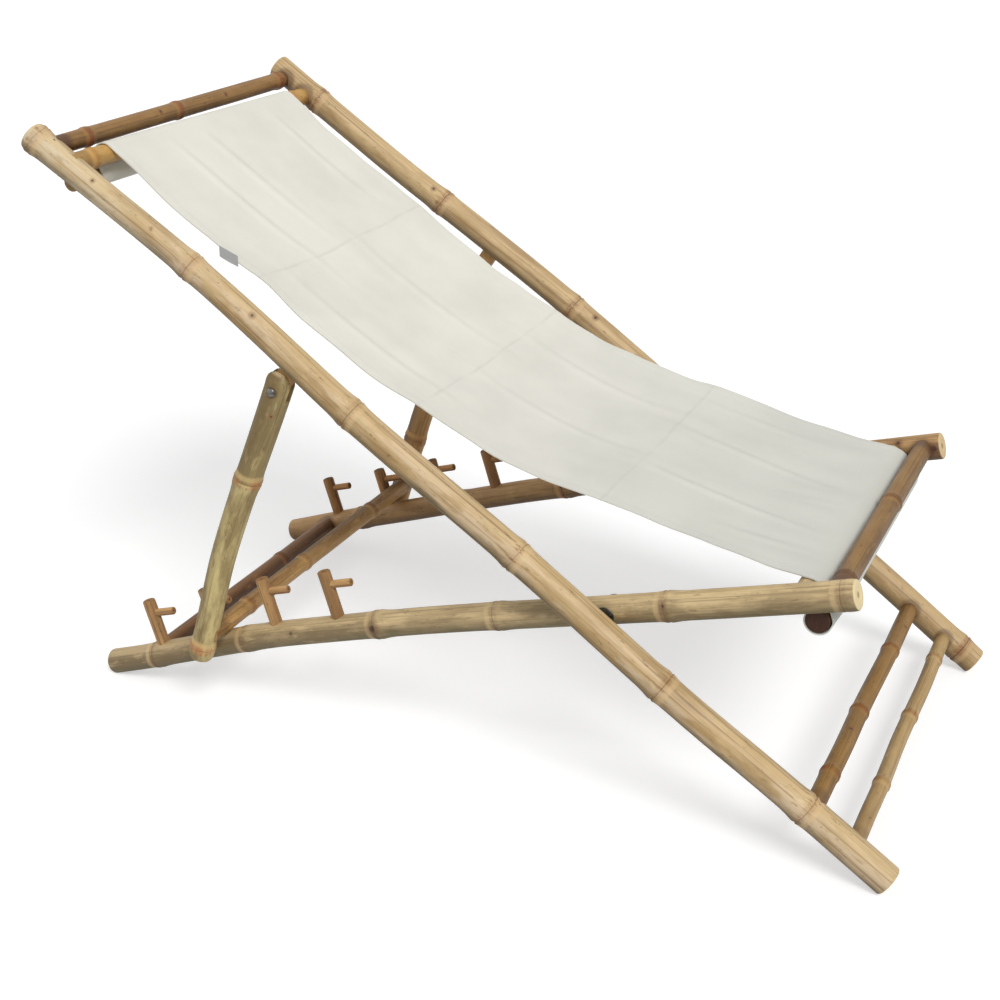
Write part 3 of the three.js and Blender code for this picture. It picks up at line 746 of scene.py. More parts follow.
PALE = BambooFinish(
    "bamboo_pale", 0xC8AD80, 0xA08050, 0x7A5C36, 0xA8784A, 0x655434, cut=0xDFC89C, pith=0xC8AC7A, streaks=0.6,
    ring_strength=0.4, line_strength=0.32, crown_strength=0.6, belly_strength=0.95, blush_strength=0.6,
)
STRAW = BambooFinish(
    "bamboo_pale", 0xC6AB7F, 0xA38558, 0x755536, 0x8A5430, 0x5E4C2E, streaks=0.55, mottle=0.85,
    ring_strength=0.7,
)
GREY = BambooFinish(
    "bamboo_grey", 0xCDB487, 0x7E6B4B, 0x6A583B, 0x8A6540, 0x5F5638, cut=0xEAD8AC, pith=0xD8BF8E, streaks=0.5,
    mottle=0.85, ring_strength=0.35, line_strength=0.4,
)
SMOKE = BambooFinish(
    "bamboo_grey", 0xC09965, 0x906D47, 0x5E442C, 0x7E4E32, 0x4C3823, streaks=0.6, mottle=0.85,
    line_strength=0.4,
)
OLIVE = BambooFinish(
    "bamboo_olive", 0xCBB880, 0x766039, 0x66502E, 0xC08050, 0x665430, streaks=0.5, mottle=0.85,
    ring_strength=0.9, crown_strength=0.25, belly_strength=0.45,
)
BARK = BambooFinish("bamboo_olive", 0xC99C60, 0x9A7347, 0x6A4B2F, 0x8A5430, 0x553C25, streaks=0.55)
UMBER = BambooFinish(
    "bamboo_brown", 0x9C753E, 0x6D4C27, 0x45301B, 0x7E3C1E, 0x33251A, streaks=0.5, ring_strength=0.85,
    ring_reach=0.01, line_strength=0.85, crown_strength=0.35, belly_strength=0.95, collar_strength=0.8,
)
RUNG = BambooFinish(
    "bamboo_brown", 0x906B31, 0x64451F, 0x452D18, 0x824020, 0x3C2A18, streaks=0.55, mottle=0.9,
    ring_reach=0.009, line_strength=0.8, collar_strength=0.45,
)
WHEAT = BambooFinish(
    "bamboo_brown", 0xB79966, 0x8A6B40, 0x66492C, 0x905232, 0x5A4628, streaks=0.5, mottle=0.9,
    ring_reach=0.009, line_strength=0.6, collar_strength=0.35,
)
AMBER = BambooFinish(
    "bamboo_tan", 0xB99158, 0x8B6434, 0x634422, 0x8A4E28, 0x54401F, cut=0xA88A5C, pith=0x66492C, streaks=0.55,
    mottle=0.95, ring_strength=0.55, ring_reach=0.009, line_strength=0.8, collar_strength=0.55,
)
TAWNY = BambooFinish(
    "bamboo_tan", 0x94703A, 0x6A4820, 0x4C3117, 0x643A1E, 0x412F19, streaks=0.6, mottle=0.95,
    ring_strength=0.45, ring_reach=0.009, line_strength=0.95, collar_strength=0.7, collar_reach=0.055,
)
HONEY = BambooFinish(
    "bamboo_tan", 0xCCA25C, 0xA0763C, 0x75522B, 0x9A5A2A, 0x54401F, ring_strength=0.45, ring_reach=0.009,
    collar_strength=0.45,
)
DARK_END = BambooFinish(
    "bamboo_brown", 0x8C6A43, 0x6F4F31, 0x4F3420, 0x8F4A2A, 0x6E5A36, cut=0x3C251B, pith=0x5A3A2C,
)
WALNUT = BambooFinish(
    "bamboo_brown", 0x865B2E, 0x4B2E16, 0x34220F, 0x6E3820, 0x33251A, streaks=0.75, mottle=1.0,
    ring_reach=0.009, line_strength=0.6,
)
PEG = BambooFinish(
    "bamboo_peg", 0xC79E68, 0x9A7146, 0x5C3F28, 0x7E4C30, 0x6A4C30, cut=0x9C774C, pith=0x553926, streaks=0.6,
    belly_strength=0.3, roughness=0.5,
)
PEG_DARK = BambooFinish(
    "bamboo_peg", 0xC99257, 0x8F653C, 0x503724, 0x6E4028, 0x4A3422, cut=0x80603E, pith=0x45301F, streaks=0.6,
    belly_strength=0.3, roughness=0.5,
)
STEEL = SteelFinish()
SPLIT = SplitFinish()


def smooth_object(name: str, maker: bmesh.types.BMesh, sharp: float = 38.0) -> bpy.types.Object:
    """Turns a bmesh into a smooth shaded object at the origin.

    Args:
        name: The object's name.
        maker: The bmesh, which is freed.
        sharp: Edges sharper than this many degrees stay sharp.

    Returns:
        The object, linked to the scene.
    """
    bmesh.ops.recalc_face_normals(maker, faces=maker.faces)
    for face in maker.faces:
        face.smooth = True
    mesh = bpy.data.meshes.new(name)
    maker.to_mesh(mesh)
    maker.free()
    mesh.set_sharp_from_angle(angle=math.radians(sharp))
    made = bpy.data.objects.new(name, mesh)
    bpy.context.scene.collection.objects.link(made)
    return made


def run_between(start: Vector, end: Vector) -> Matrix:
    """Lays something that was made along +X between two points.

    Args:
        start: Where it starts.
        end: Where it runs to.

    Returns:
        Its turn and shift.
    """
    along = (end - start).normalized()
    side = Vector((0, 0, 1)).cross(along)
    side = side.normalized() if side.length > 1e-9 else Vector((0, 1, 0))
    turn = Matrix((along, side, along.cross(side))).transposed().to_4x4()
    return Matrix.Translation(start) @ turn


def spun(outline: Outline, sides: int) -> bmesh.types.BMesh:
    """Spins an outline about the X axis.

    Args:
        outline: Pairs of a place along X and a radius.
        sides: How many steps the turn takes.

    Returns:
        The closed skin.
    """
    maker = bmesh.new()
    verts = [maker.verts.new((along, 0.0, radius)) for along, radius in outline]
    edges = [maker.edges.new(pair) for pair in zip(verts, verts[1:])]
    turn = {"axis": (1, 0, 0), "angle": 2 * math.pi, "steps": sides, "use_merge": True}
    bmesh.ops.spin(maker, geom=verts + edges, cent=(0, 0, 0), **turn)
    bmesh.ops.remove_doubles(maker, verts=maker.verts, dist=1e-6)
    return maker


def carved(maker: bmesh.types.BMesh, low: Vector, high: Vector) -> bmesh.types.BMesh:
    """Cuts a box out of a closed skin.

    Args:
        maker: The skin, which is freed.
        low: The box's lowest corner.
        high: Its highest corner.

    Returns:
        The skin that is left.
    """
    box = bmesh.new()
    bmesh.ops.create_cube(box, size=1.0)
    bmesh.ops.scale(box, vec=high - low, verts=box.verts)
    bmesh.ops.translate(box, vec=(high + low) / 2, verts=box.verts)
    bmesh.ops.recalc_face_normals(maker, faces=maker.faces)
    pair = []
    for word, shape in (("whole", maker), ("cutter", box)):
        mesh = bpy.data.meshes.new(word)
        shape.to_mesh(mesh)
        shape.free()
        pair.append(bpy.data.objects.new(word, mesh))
        bpy.context.scene.collection.objects.link(pair[-1])
    modifier = pair[0].modifiers.new("slot", "BOOLEAN")
    modifier.object = pair[1]
    modifier.operation = "DIFFERENCE"
    modifier.solver = "EXACT"
    left = bmesh.new()
    left.from_object(pair[0], bpy.context.evaluated_depsgraph_get())
    for each in pair:
        mesh = each.data
        bpy.data.objects.remove(each)
        bpy.data.meshes.remove(mesh)
    return left


@dataclass
class Pole:
    """A bamboo pole from its start to its end, along +X before it is laid."""

    length: float
    butt: float
    tip: float
    rings: Sequence[float] = ()
    rise: float = 0.0
    bend: Table = STRAIGHT
    round: float = 0.0024
    start_round: Optional[float] = None
    swell: float = 0.0019
    reach: float = 0.026
    sides: int = 56
    spacing: float = 0.024
    wobble: float = 0.0004
    seed: float = 0.0
    tones: Sequence[float] = ()
    swells: Sequence[float] = ()
    girth: Table = EVEN
    drift: Table = STRAIGHT
    fade: Table = STRAIGHT

    @property
    def start_curve(self) -> float:
        """How far the starting end's edge is rounded."""
        return self.round if self.start_round is None else self.start_round

    @property
    def centres(self) -> list[float]:
        """The places of its rings."""
        return [share * self.length for share in self.rings]

    def taper_at(self, along: float) -> float:
        """The radius that its two ends alone would give."""
        return between(self.butt, self.tip, along / self.length)

    def radius_at(self, along: float) -> float:
        """The smooth radius between the rings."""
        share = along / self.length
        return self.taper_at(along) * (1 - 0.012 * math.sin(math.pi * share)) * read_shares(self.girth, share)

    def rise_at(self, along: float) -> float:
        """How far the middle line stands off the straight line."""
        return self.rise * read_shares(self.bend, along / self.length)

    def tone_at(self, along: float) -> float:
        """How dark the length between two rings is.

        Args:
            along: A place on that length.

        Returns:
            Its tone, from 0 to 1, or more where the pole's own tones say so.
        """
        index = sum(1 for centre in self.centres if centre < along)
        if index < len(self.tones):
            return self.tones[index]
        return 0.5 + 0.5 * math.sin((index + 1) * 12.9 + self.seed * 7.3)

    def outline(self) -> Outline:
        """Draws the outline, with dished ends and a lip and groove at each ring.

        Returns:
            Pairs of a place along the pole and a radius.
        """
        centres = self.centres
        stations: Outline = []
        for index, centre in enumerate(centres):
            height = self.swell * (self.swells[index] if index < len(self.swells) else 1.0)
            stations += [(centre + at * self.reach, lift * height) for at, lift in RING]
        count = int(self.length / self.spacing)
        for along in (index * self.length / count for index in range(1, count)):
            if all(abs(centre - along) > self.reach * 1.3 for centre in centres):
                stations.append((along, 0.0))
        points = self.end(0.0, 1, self.start_curve)
        last = points[-1][0]
        for along, lift in sorted(stations):
            if last + SHORTEST < along < self.length - self.round - SHORTEST:
                points.append((along, self.radius_at(along) + lift))
                last = along
        return points + self.end(self.length, -1, self.round)[::-1]

    def end(self, along: float, way: int, curve: float) -> Outline:
        """Draws a rounded end with a shallow dish.

        Args:
            along: Where the pole ends.
            way: 1 for its start and -1 for its end.
            curve: How far the edge is rounded.

        Returns:
            The outline from the axis outwards.
        """
        flat = self.radius_at(along) - curve
        points = [(along + way * depth, flat * share) for depth, share in DISH]
        for turn in (QUARTER * step / 4 for step in range(5)):
            points.append((along + way * curve * (1 - math.cos(turn)), flat + curve * math.sin(turn)))
        return points

    def is_sawn(self, along: float, radial: float) -> bool:
        """Tells whether a point of the skin is on a sawn end.

        Args:
            along: Its place along the pole.
            radial: Its distance from the axis.

        Returns:
            Whether it is.
        """
        curve = self.start_curve if along < self.length / 2 else self.round
        worn = 0.2 if curve < 0.006 else 0.6
        deep = min(along, self.length - along)
        return deep < max(0.0013, curve * 0.35) and self.radius_at(along) - radial > curve * worn

    def skin(self, slots: Iterable[Ends] = ()) -> bmesh.types.BMesh:
        """Spins, carves, marks and bends the pole.

        Args:
            slots: The low and high corners of boxes to cut out, in the straight pole's own space.

        Returns:
            The closed skin along +X.
        """
        maker = spun(self.outline(), self.sides)
        for low, high in slots:
            maker = carved(maker, low, high)
        layers = maker.verts.layers.float_vector
        grain, marks, tones = (layers.new(word) for word in ("grain", "marks", "tones"))
        centres = self.centres
        for vert in maker.verts:
            along, off, up = vert.co
            radial = math.hypot(off, up)
            away = min((along - centre for centre in centres), key=abs, default=1.0)
            border = min(along, self.length - along)
            ring = max(min(away, RING_REACH), -RING_REACH)
            vert[grain] = (along, off, up)
            vert[marks] = (ring, float(self.is_sawn(along, radial)), min(border, END_REACH))
            vert[tones] = (abs(ring), self.tone_at(along), read_shares(self.fade, along / self.length))
            if radial > 1e-5:
                push = uneven(along * 7 + self.seed * 9.7, off * 38, up * 38 + self.seed)
                push *= self.wobble * min(border / 0.01, 1.0)
                vert.co.y += off / radial * push
                vert.co.z += up / radial * push
            inner = min(max(along, 0.0), self.length)
            vert.co.z += self.rise_at(inner) + read_shares(self.drift, inner / self.length)
        return maker


def slim(length: float, radius: float, rings: Sequence[float], **extra: object) -> Pole:
    """A slim pole of even thickness."""
    facts = {"swell": 0.0014, "reach": 0.017, "round": 0.0012, "sides": 40, "spacing": 0.014}
    return Pole(length, radius, radius, rings, **{**facts, "wobble": 0.0003, **extra})


@dataclass(frozen=True)
class Rail:
    """A long pole's own form and looks: its bend, its rings, its skin and its bud scars."""

    rise: float
    bend: Table
    rings: Sequence[float]
    finish: BambooFinish
    scars: Sequence[Scar] = ()
    tones: Sequence[float] = ()
    swells: Sequence[float] = ()
    girth: Table = EVEN
    drift: Table = STRAIGHT
    fade: Table = STRAIGHT

    def pole(self, length: float, butt: float, tip: float, curve: float) -> Pole:
        """The pole with this length, these two radii and this rounding of its ends."""
        own = {word: getattr(self, word) for word in ("tones", "swells", "girth", "drift", "fade")}
        return Pole(length, butt, tip, self.rings, self.rise, self.bend, curve, **own)


@dataclass(frozen=True)
class Bar:
    """A crossbar: its place along the rails, its lie, its skin and the places of its bud scars."""

    node: str
    along: float
    rise: float
    radius: float
    rings: Sequence[float]
    finish: BambooFinish
    slant: float = 0.0
    tilt: float = 0.0
    bow: float = 0.0
    sink: float = SUNK_SHARE
    tones: Sequence[float] = ()
    buds: Table = ()
    bud_size: float = 0.0035

    def ends(self, point: Point, half: float, wall: float) -> Ends:
        """Finds where the bar ends in the rails.

        Args:
            point: Gives a point of the frame.
            half: Half the distance between the rails.
            wall: The rails' radius.

        Returns:
            Its right and left ends.
        """
        reach = half - wall + 2 * wall * self.sink
        right = point(self.along - self.slant, -reach, self.rise + self.tilt)
        return right, point(self.along + self.slant, reach, self.rise - self.tilt)

    def pole(self, length: float) -> Pole:
        """The bar as a slim pole."""
        return slim(length, self.radius, self.rings, rise=self.bow, bend=WAVY, tones=self.tones)

    def scars(self) -> list[Scar]:
        """Its bud scars, each from its place along the bar and its turn round it."""
        turned = ((along, math.sin(turn), math.cos(turn)) for along, turn in self.buds)
        return [Scar(along, off * self.radius, up * self.radius, self.bud_size) for along, off, up in turned]


@dataclass(frozen=True)
class Stud:
    """A bolt or a pin with a domed head."""

    head: float
    radius: float
    shank: float
    brim: tuple[float, float]

    def outline(self, length: float) -> Outline:
        """Draws the outline from the top of the head.

        Args:
            length: The stud's length with its head.

        Returns:
            Pairs of a place along the stud and a radius.
        """
        head, radius, (deep, wide) = self.head, self.radius, self.brim
        turns = [QUARTER * step / 5 for step in range(5)]
        dome = [(head * (1 - math.cos(turn)), radius * math.sin(turn)) for turn in turns]
        brim = [(head * deep, radius), (head, radius * wide)]
        return dome + brim + [(head, self.shank), (length, self.shank), (length, 0)]


@dataclass
class Place:
    """A leaning frame: its pivot in the room and its turn about the Y axis."""

    origin: Vector
    angle: float

    @property
    def matrix(self) -> Matrix:
        """The frame's place in the room."""
        return Matrix.Translation(self.origin) @ Matrix.Rotation(self.angle, 4, "Y")


@dataclass
class Sizes:
    """Sizes that more than one frame needs, in metres."""

    back_length: float = 1.45
    seat_length: float = 1.16
    back_angle: float = math.radians(33.5)
    back_half: float = 0.3042
    from_foot: float = 0.4775
    from_rear: float = 0.8358
    back_butt: float = 0.0208
    back_tip: float = 0.0195
    seat_butt: float = 0.0194
    seat_tip: float = 0.0186
    back_lift: float = 0.0055
    seat_lift: float = 0.0104
    end_round: float = 0.0024
    rub_gap: float = 0.0025
    gap: float = 0.0003

    @property
    def seat_at_pivot(self) -> float:
        """A seat rail's radius at the fold."""
        return between(self.seat_tip, self.seat_butt, self.from_rear / self.seat_length)

    @property
    def seat_half(self) -> float:
        """Half the distance between the seat rails' middle lines."""
        back_at_pivot = between(self.back_butt, self.back_tip, self.from_foot / self.back_length)
        return self.back_half - self.rub_gap - back_at_pivot - self.seat_at_pivot

    def back(self, along: float, across: float, rise: float) -> Vector:
        """A point of the back frame, measured from the foot."""
        return Vector((self.from_foot - along, across, rise - self.back_lift))

    def seat(self, along: float, across: float, rise: float) -> Vector:
        """A point of the seat frame, measured from the rear."""
        return Vector((along - self.from_rear, across, rise - self.seat_lift))


class Assembly:
    """A sub-assembly whose pieces ride on one body."""

    body = ""

    def __init__(self, place: Place, sizes: Sizes) -> None:
        """Keeps the frame's place and the shared sizes."""
        self.place = place
        self.sizes = sizes

    def settle(
        self, node: str, maker: bmesh.types.BMesh, sharp: float, material: bpy.types.Material, slot: str
    ) -> None:
        """Finishes a piece: gives it its material, hides the node that it stands for and puts it on its body.

        Args:
            node: The node that it stands for.
            maker: Its shape.
            sharp: Edges sharper than this many degrees stay sharp.
            material: Its material.
            slot: Its finish, which is unused.
        """
        piece = smooth_object(f"{node}_shape", maker, sharp)
        piece.data.materials.append(material)
        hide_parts(node)
        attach(piece, self.body)
        LOG.info("%s: %d faces", piece.name, len(piece.data.polygons))

    def lay(
        self,
        node: str,
        pole: Pole,
        ends: Ends,
        finish: BambooFinish,
        spots: Iterable[Spot] = (),
        slots: Iterable[Ends] = (),
        trim: bool = False,
    ) -> None:
        """Lays a pole between two points of the frame.

        Args:
            node: The node that it stands for.
            pole: The pole.
            ends: Where it starts and where it ends.
            finish: Its skin.
            spots: Its bud scars and mortises.
            slots: Boxes cut out of it.
            trim: Whether the floor has worn it level.
        """
        pole.seed = sum(ord(letter) for letter in node) % 89 + 0.37
        maker = pole.skin(slots)
        maker.transform(self.place.matrix @ run_between(*ends))
        if trim:
            floor = {"plane_co": (0, 0, 0), "plane_no": (0, 0, -1), "clear_outer": True}
            bmesh.ops.bisect_plane(maker, geom=[*maker.verts, *maker.edges, *maker.faces], **floor)
            bmesh.ops.holes_fill(maker, edges=[edge for edge in maker.edges if edge.is_boundary])
        material = finish.material(f"{finish.slot}_{node}", pole.seed, (pole.butt + pole.tip) / 2, spots)
        self.settle(node, maker, 38.0, material, finish.slot)

    def turn(self, node: str, outline: Outline, start: Vector, end: Vector) -> None:
        """Turns a steel piece.

        Args:
            node: The node that it stands for.
            outline: Its outline.
            start: The point that the outline starts from.
            end: A point that it runs towards.
        """
        maker = spun(outline, 36)
        maker.transform(self.place.matrix @ run_between(start, end))
        self.settle(node, maker, 30.0, STEEL.material(f"steel_{node}"), STEEL.slot)


class RailFrame(Assembly):
    """A frame of two rails, the crossbars between them and a loose rod under them."""

    word = ""
    inward = 1
    rod_node = ""
    rod_finish = AMBER
    bars: dict[str, Bar]
    rod: Ends

    def __init__(
        self, place: Place, sizes: Sizes, own: "FrameSizes", point: Point, half: float, radii: Sequence[float]
    ) -> None:
        """Sets out the rails.

        Args:
            place: The frame's place.
            sizes: The shared sizes.
            own: The frame's own sizes.
            point: Gives a point of the frame.
            half: Half the distance between the rails.
            radii: The rails' radii at their start and at their end.
        """
        super().__init__(place, sizes)
        self.own = own
        self.point = point
        self.half = half
        self.wall = min(radii)
        self.rails = {side: rail.pole(own.length, *radii, own.rail_round) for side, rail in own.rails.items()}

    def bar_ends(self, node: str) -> Ends:
        """The two ends of one crossbar."""
        return self.bars[node].ends(self.point, self.half, self.wall)

    def rod_under(self, along: float) -> Ends:
        """Pulls the loose rod up under the rails.

        Args:
            along: Its place along the rails.

        Returns:
            Its right and left ends.
        """
        under = min(rail.rise_at(along) - rail.taper_at(along) for rail in self.rails.values())
        rise = under - self.sizes.gap - self.own.rod_radius
        half = self.half - self.own.rod_short
        return self.point(along, -half, rise), self.point(along, half, rise)

    def mortises(self, side: Side) -> list[Mortise]:
        """Finds the holes that a rail has for its crossbars.

        Args:
            side: The rail's side.

        Returns:
            The holes.
        """
        rail, found = self.rails[side], []
        for bar in self.bars.values():
            up = bar.rise - rail.rise_at(bar.along)
            across = self.inward * side.value * math.sqrt(max(rail.tip**2 - up**2, 0.0))
            found.append(Mortise(bar.along, across, up, bar.radius))
        return found

    def lay_rail(self, side: Side) -> None:
        """Lays one rail.

        Args:
            side: Its side.
        """
        rail, across = self.own.rails[side], side.value * self.half
        ends = self.point(0, across, 0), self.point(self.own.length, across, 0)
        spots = [*rail.scars, *self.mortises(side)]
        self.lay(f"{self.word}_rail_{side.word}", self.rails[side], ends, rail.finish, spots, (), True)

    def lay_bars(self) -> None:
        """Lays the crossbars and the loose rod."""
        for node, bar in self.bars.items():
            right, left = self.bar_ends(node)
            self.lay(node, bar.pole((left - right).length), (right, left), bar.finish, bar.scars())
        right, left = self.rod
        rod = slim((left - right).length, self.own.rod_radius, (0.33, 0.7))
        self.lay(self.rod_node, rod, self.rod, self.rod_finish)


@dataclass
class FrameSizes:
    """What both frames of rails have sizes for."""

    length: float
    rails: dict[Side, Rail]
    rail_round: float
    rod_radius: float
    rod_short: float
    rod_from_end: float


@dataclass
class BackSizes(FrameSizes):
    """The back frame's own sizes."""

    length: float = Sizes.back_length
    rails: dict[Side, Rail] = field(
        default_factory=lambda: {
            Side.RIGHT: Rail(
                rise=0.008,
                bend=(
                    (0, 0), (0.12, 0), (0.23, -0.4), (0.43, 0.3), (0.6, -0.1), (0.72, 0.7), (0.8, 1),
                    (0.88, 0.6), (1, -0.6),
                ),
                rings=(0.0924, 0.2524, 0.4207, 0.6124, 0.8069, 0.991),
                finish=PALE,
                scars=(Scar(1.065, 0.012, 0.0155, 0.0045), Scar(1.34, 0.0115, 0.0135, 0.0032)),
                tones=(0.35, 0.2, 0.4, 0.45, 0.5, 0.1, 0.0),
                girth=((0, 1), (0.6, 1), (0.72, 0.94), (0.9, 0.91), (0.96, 0.96), (1, 1.02)),
                drift=((0, 0), (0.6, 0), (0.75, 0.0012), (0.9, 0.0018), (1, 0.0058)),
                fade=((0, 0.15), (0.2, 0), (0.76, 0), (0.86, 0.5), (0.95, 0.8), (1, 0.8)),
            ),
            Side.LEFT: Rail(
                rise=0.017,
                bend=(
                    (0, 0), (0.14, 0.45), (0.33, 0.7), (0.59, 1), (0.7, 0.76), (0.8, 0.4), (0.9, 0.27),
                    (1, 0.27),
                ),
                rings=(0.022, 0.211, 0.392, 0.571, 0.756, 0.937),
                finish=STRAW,
                scars=(Scar(1.12, 0.012, 0.015, 0.004), Scar(0.79, 0.01, 0.0165, 0.005)),
            ),
        }
    )
    rail_round: float = 0.0036
    rod_radius: float = 0.012
    rod_short: float = 0.0202
    rod_from_end: float = 0.069
    rod_tilt: float = 0.004
    bar_tilt: float = 0.0045
    rung_tilt: float = 0.003
    rung_bow: float = 0.004
    bolt: Stud = Stud(0.0045, 0.0085, 0.004, (0.97, 0.995))
    bolt_reach: float = 0.026
    washer_thick: float = 0.0016
    washer_radius: float = 0.013
    washer_hole: float = 0.0043
    washer_lip: float = 0.0002


class BackFrame(RailFrame):
    """The long frame: two rails, four crossbars, a loose rod and the steel that joins it."""

    body = "back_frame"
    word = "back"
    rod_node = "head_sling_rod"

    def __init__(self, place: Place, sizes: Sizes) -> None:
        """Sets out the rails, the crossbars and the rod.

        Args:
            place: The frame's place.
            sizes: The shared sizes.
        """
        own = BackSizes()
        super().__init__(place, sizes, own, sizes.back, sizes.back_half, (sizes.back_butt, sizes.back_tip))
        tilt, rung = own.bar_tilt, {"tilt": own.rung_tilt, "bow": own.rung_bow}
        head, sling = own.length - 0.029, own.length - own.rod_from_end
        bars = (
            Bar(
                "head_bar", head, 0.004, 0.0126, (0.12, 0.47, 0.93), UMBER, slant=0.0045, tilt=tilt,
                buds=((0.24, -0.3), (0.41, -0.5)),
            ),
            Bar(
                "head_sling_bar", sling, 0.004, 0.0135, (0.07, 0.5, 0.9), HONEY, tilt=tilt,
                tones=(0.2, 0.3, 0.9, 1.3),
            ),
            Bar(
                "upper_rung", 0.129, 0.006, 0.0126, (0.14, 0.42, 0.72), RUNG, **rung,
                buds=((0.19, 0.4), (0.52, -0.2)),
            ),
            Bar("lower_rung", 0.062, 0.006, 0.0108, (0.24, 0.55, 0.84), WHEAT, **rung),
        )
        self.bars = {bar.node: bar for bar in bars}
        self.rod = self.rod_under(sling)
        self.rod[0].z += own.rod_tilt

    def build(self) -> None:
        """Builds every piece of the frame."""
        for side in Side:
            self.lay_rail(side)
        self.lay_bars()
        for side in Side:
            self.dress_tongue(side)
            self.fastenings(side)

    def dress_tongue(self, side: Side) -> None:
        """Gives the flat tongue that carries the prop its own timber finish.

        Args:
            side: Its side.
        """
        materials = bpy.data.objects[f"prop_tongue_{side.word}"].data.materials
        materials.clear()
        materials.append(SPLIT.material(f"tongue_{side.word}"))

    def fastenings(self, side: Side) -> None:
        """Turns the fold bolt and its two washers.

        Args:
            side: Their side.
        """
        own, sizes, head = self.own, self.sizes, self.own.bolt.head
        thick, lip, wide, hole = own.washer_thick, own.washer_lip, own.washer_radius, own.washer_hole

        def at(across: float) -> Vector:
            """A point on the fold axis."""
            return Vector((0, side.value * across, 0))

        inner = sizes.seat_half - sizes.seat_butt - sizes.gap - thick
        outer = sizes.seat_half + sizes.seat_at_pivot + (sizes.rub_gap - thick) / 2
        face, tip = inner - sizes.gap, sizes.back_half - sizes.back_tip + own.bolt_reach
        self.turn(f"fold_bolt_{side.word}", own.bolt.outline(tip - face + head), at(face - head), at(tip))
        rim = [(0, wide - lip), (lip, wide), (thick - lip, wide), (thick, wide - lip)]
        for node, start in (("fold_head_washer", inner), ("fold_washer", outer)):
            ring = [(0, hole), *rim, (thick, hole), (0, hole)]
            self.turn(f"{node}_{side.word}", ring, at(start), at(start + thick))


@dataclass
class SeatSizes(FrameSizes):
    """The seat frame's own sizes."""

    length: float = Sizes.seat_length
    rails: dict[Side, Rail] = field(
        default_factory=lambda: {
            Side.RIGHT: Rail(
                rise=0.024,
                bend=((0, 0.12), (0.05, 0.2), (0.25, 0.84), (0.34, 0.88), (0.5, 0.82), (0.8, 0.3), (1, 0)),
                rings=(0.078, 0.226, 0.42, 0.582, 0.79, 0.985),
                finish=GREY,
                scars=(
                    Scar(0.487, -0.0188, 0.002, 0.0092), Scar(0.917, -0.017, 0.008, 0.0045),
                    Scar(0.35, -0.018, 0.006, 0.003),
                ),
                tones=(1.5, 1.35, 0.85, 0.35, 0.15, 0.0, 0.0),
                swells=(0.8, 0.6, 1.0, 0.7, 0.8, 0.3),
            ),
            Side.LEFT: Rail(
                rise=0.0166,
                bend=((0, 0.18), (0.1, 0.48), (0.2, 0.63), (0.4, 1), (0.5, 0.94), (0.9, 0.2), (1, 0)),
                rings=(0.13, 0.3, 0.475, 0.655, 0.835),
                finish=SMOKE,
                scars=(
                    Scar(1.1, -0.012, 0.015, 0.006), Scar(1.151, -0.0187, 0.003, 0.0088),
                    Scar(0.3, -0.01, 0.017, 0.005),
                ),
            ),
        }
    )
    rail_round: float = 0.0034
    rod_radius: float = 0.015
    rod_short: float = 0.0052
    rod_from_end: float = 0.06
    rear_along: float = 0.084
    peg_first: float = 0.105
    peg_pitch: float = 0.1065
    peg_count: int = 4
    peg_sink: float = 0.024
    peg_radius: float = 0.0092
    peg_heights: dict[Side, float] = field(default_factory=lambda: {Side.RIGHT: 0.068, Side.LEFT: 0.062})
    dowel_lifts: dict[Side, float] = field(default_factory=lambda: {Side.RIGHT: 0.047, Side.LEFT: 0.0435})
    dowel_radius: float = 0.0057
    dowel_reach: float = 0.04
    dowel_sink: float = 0.005


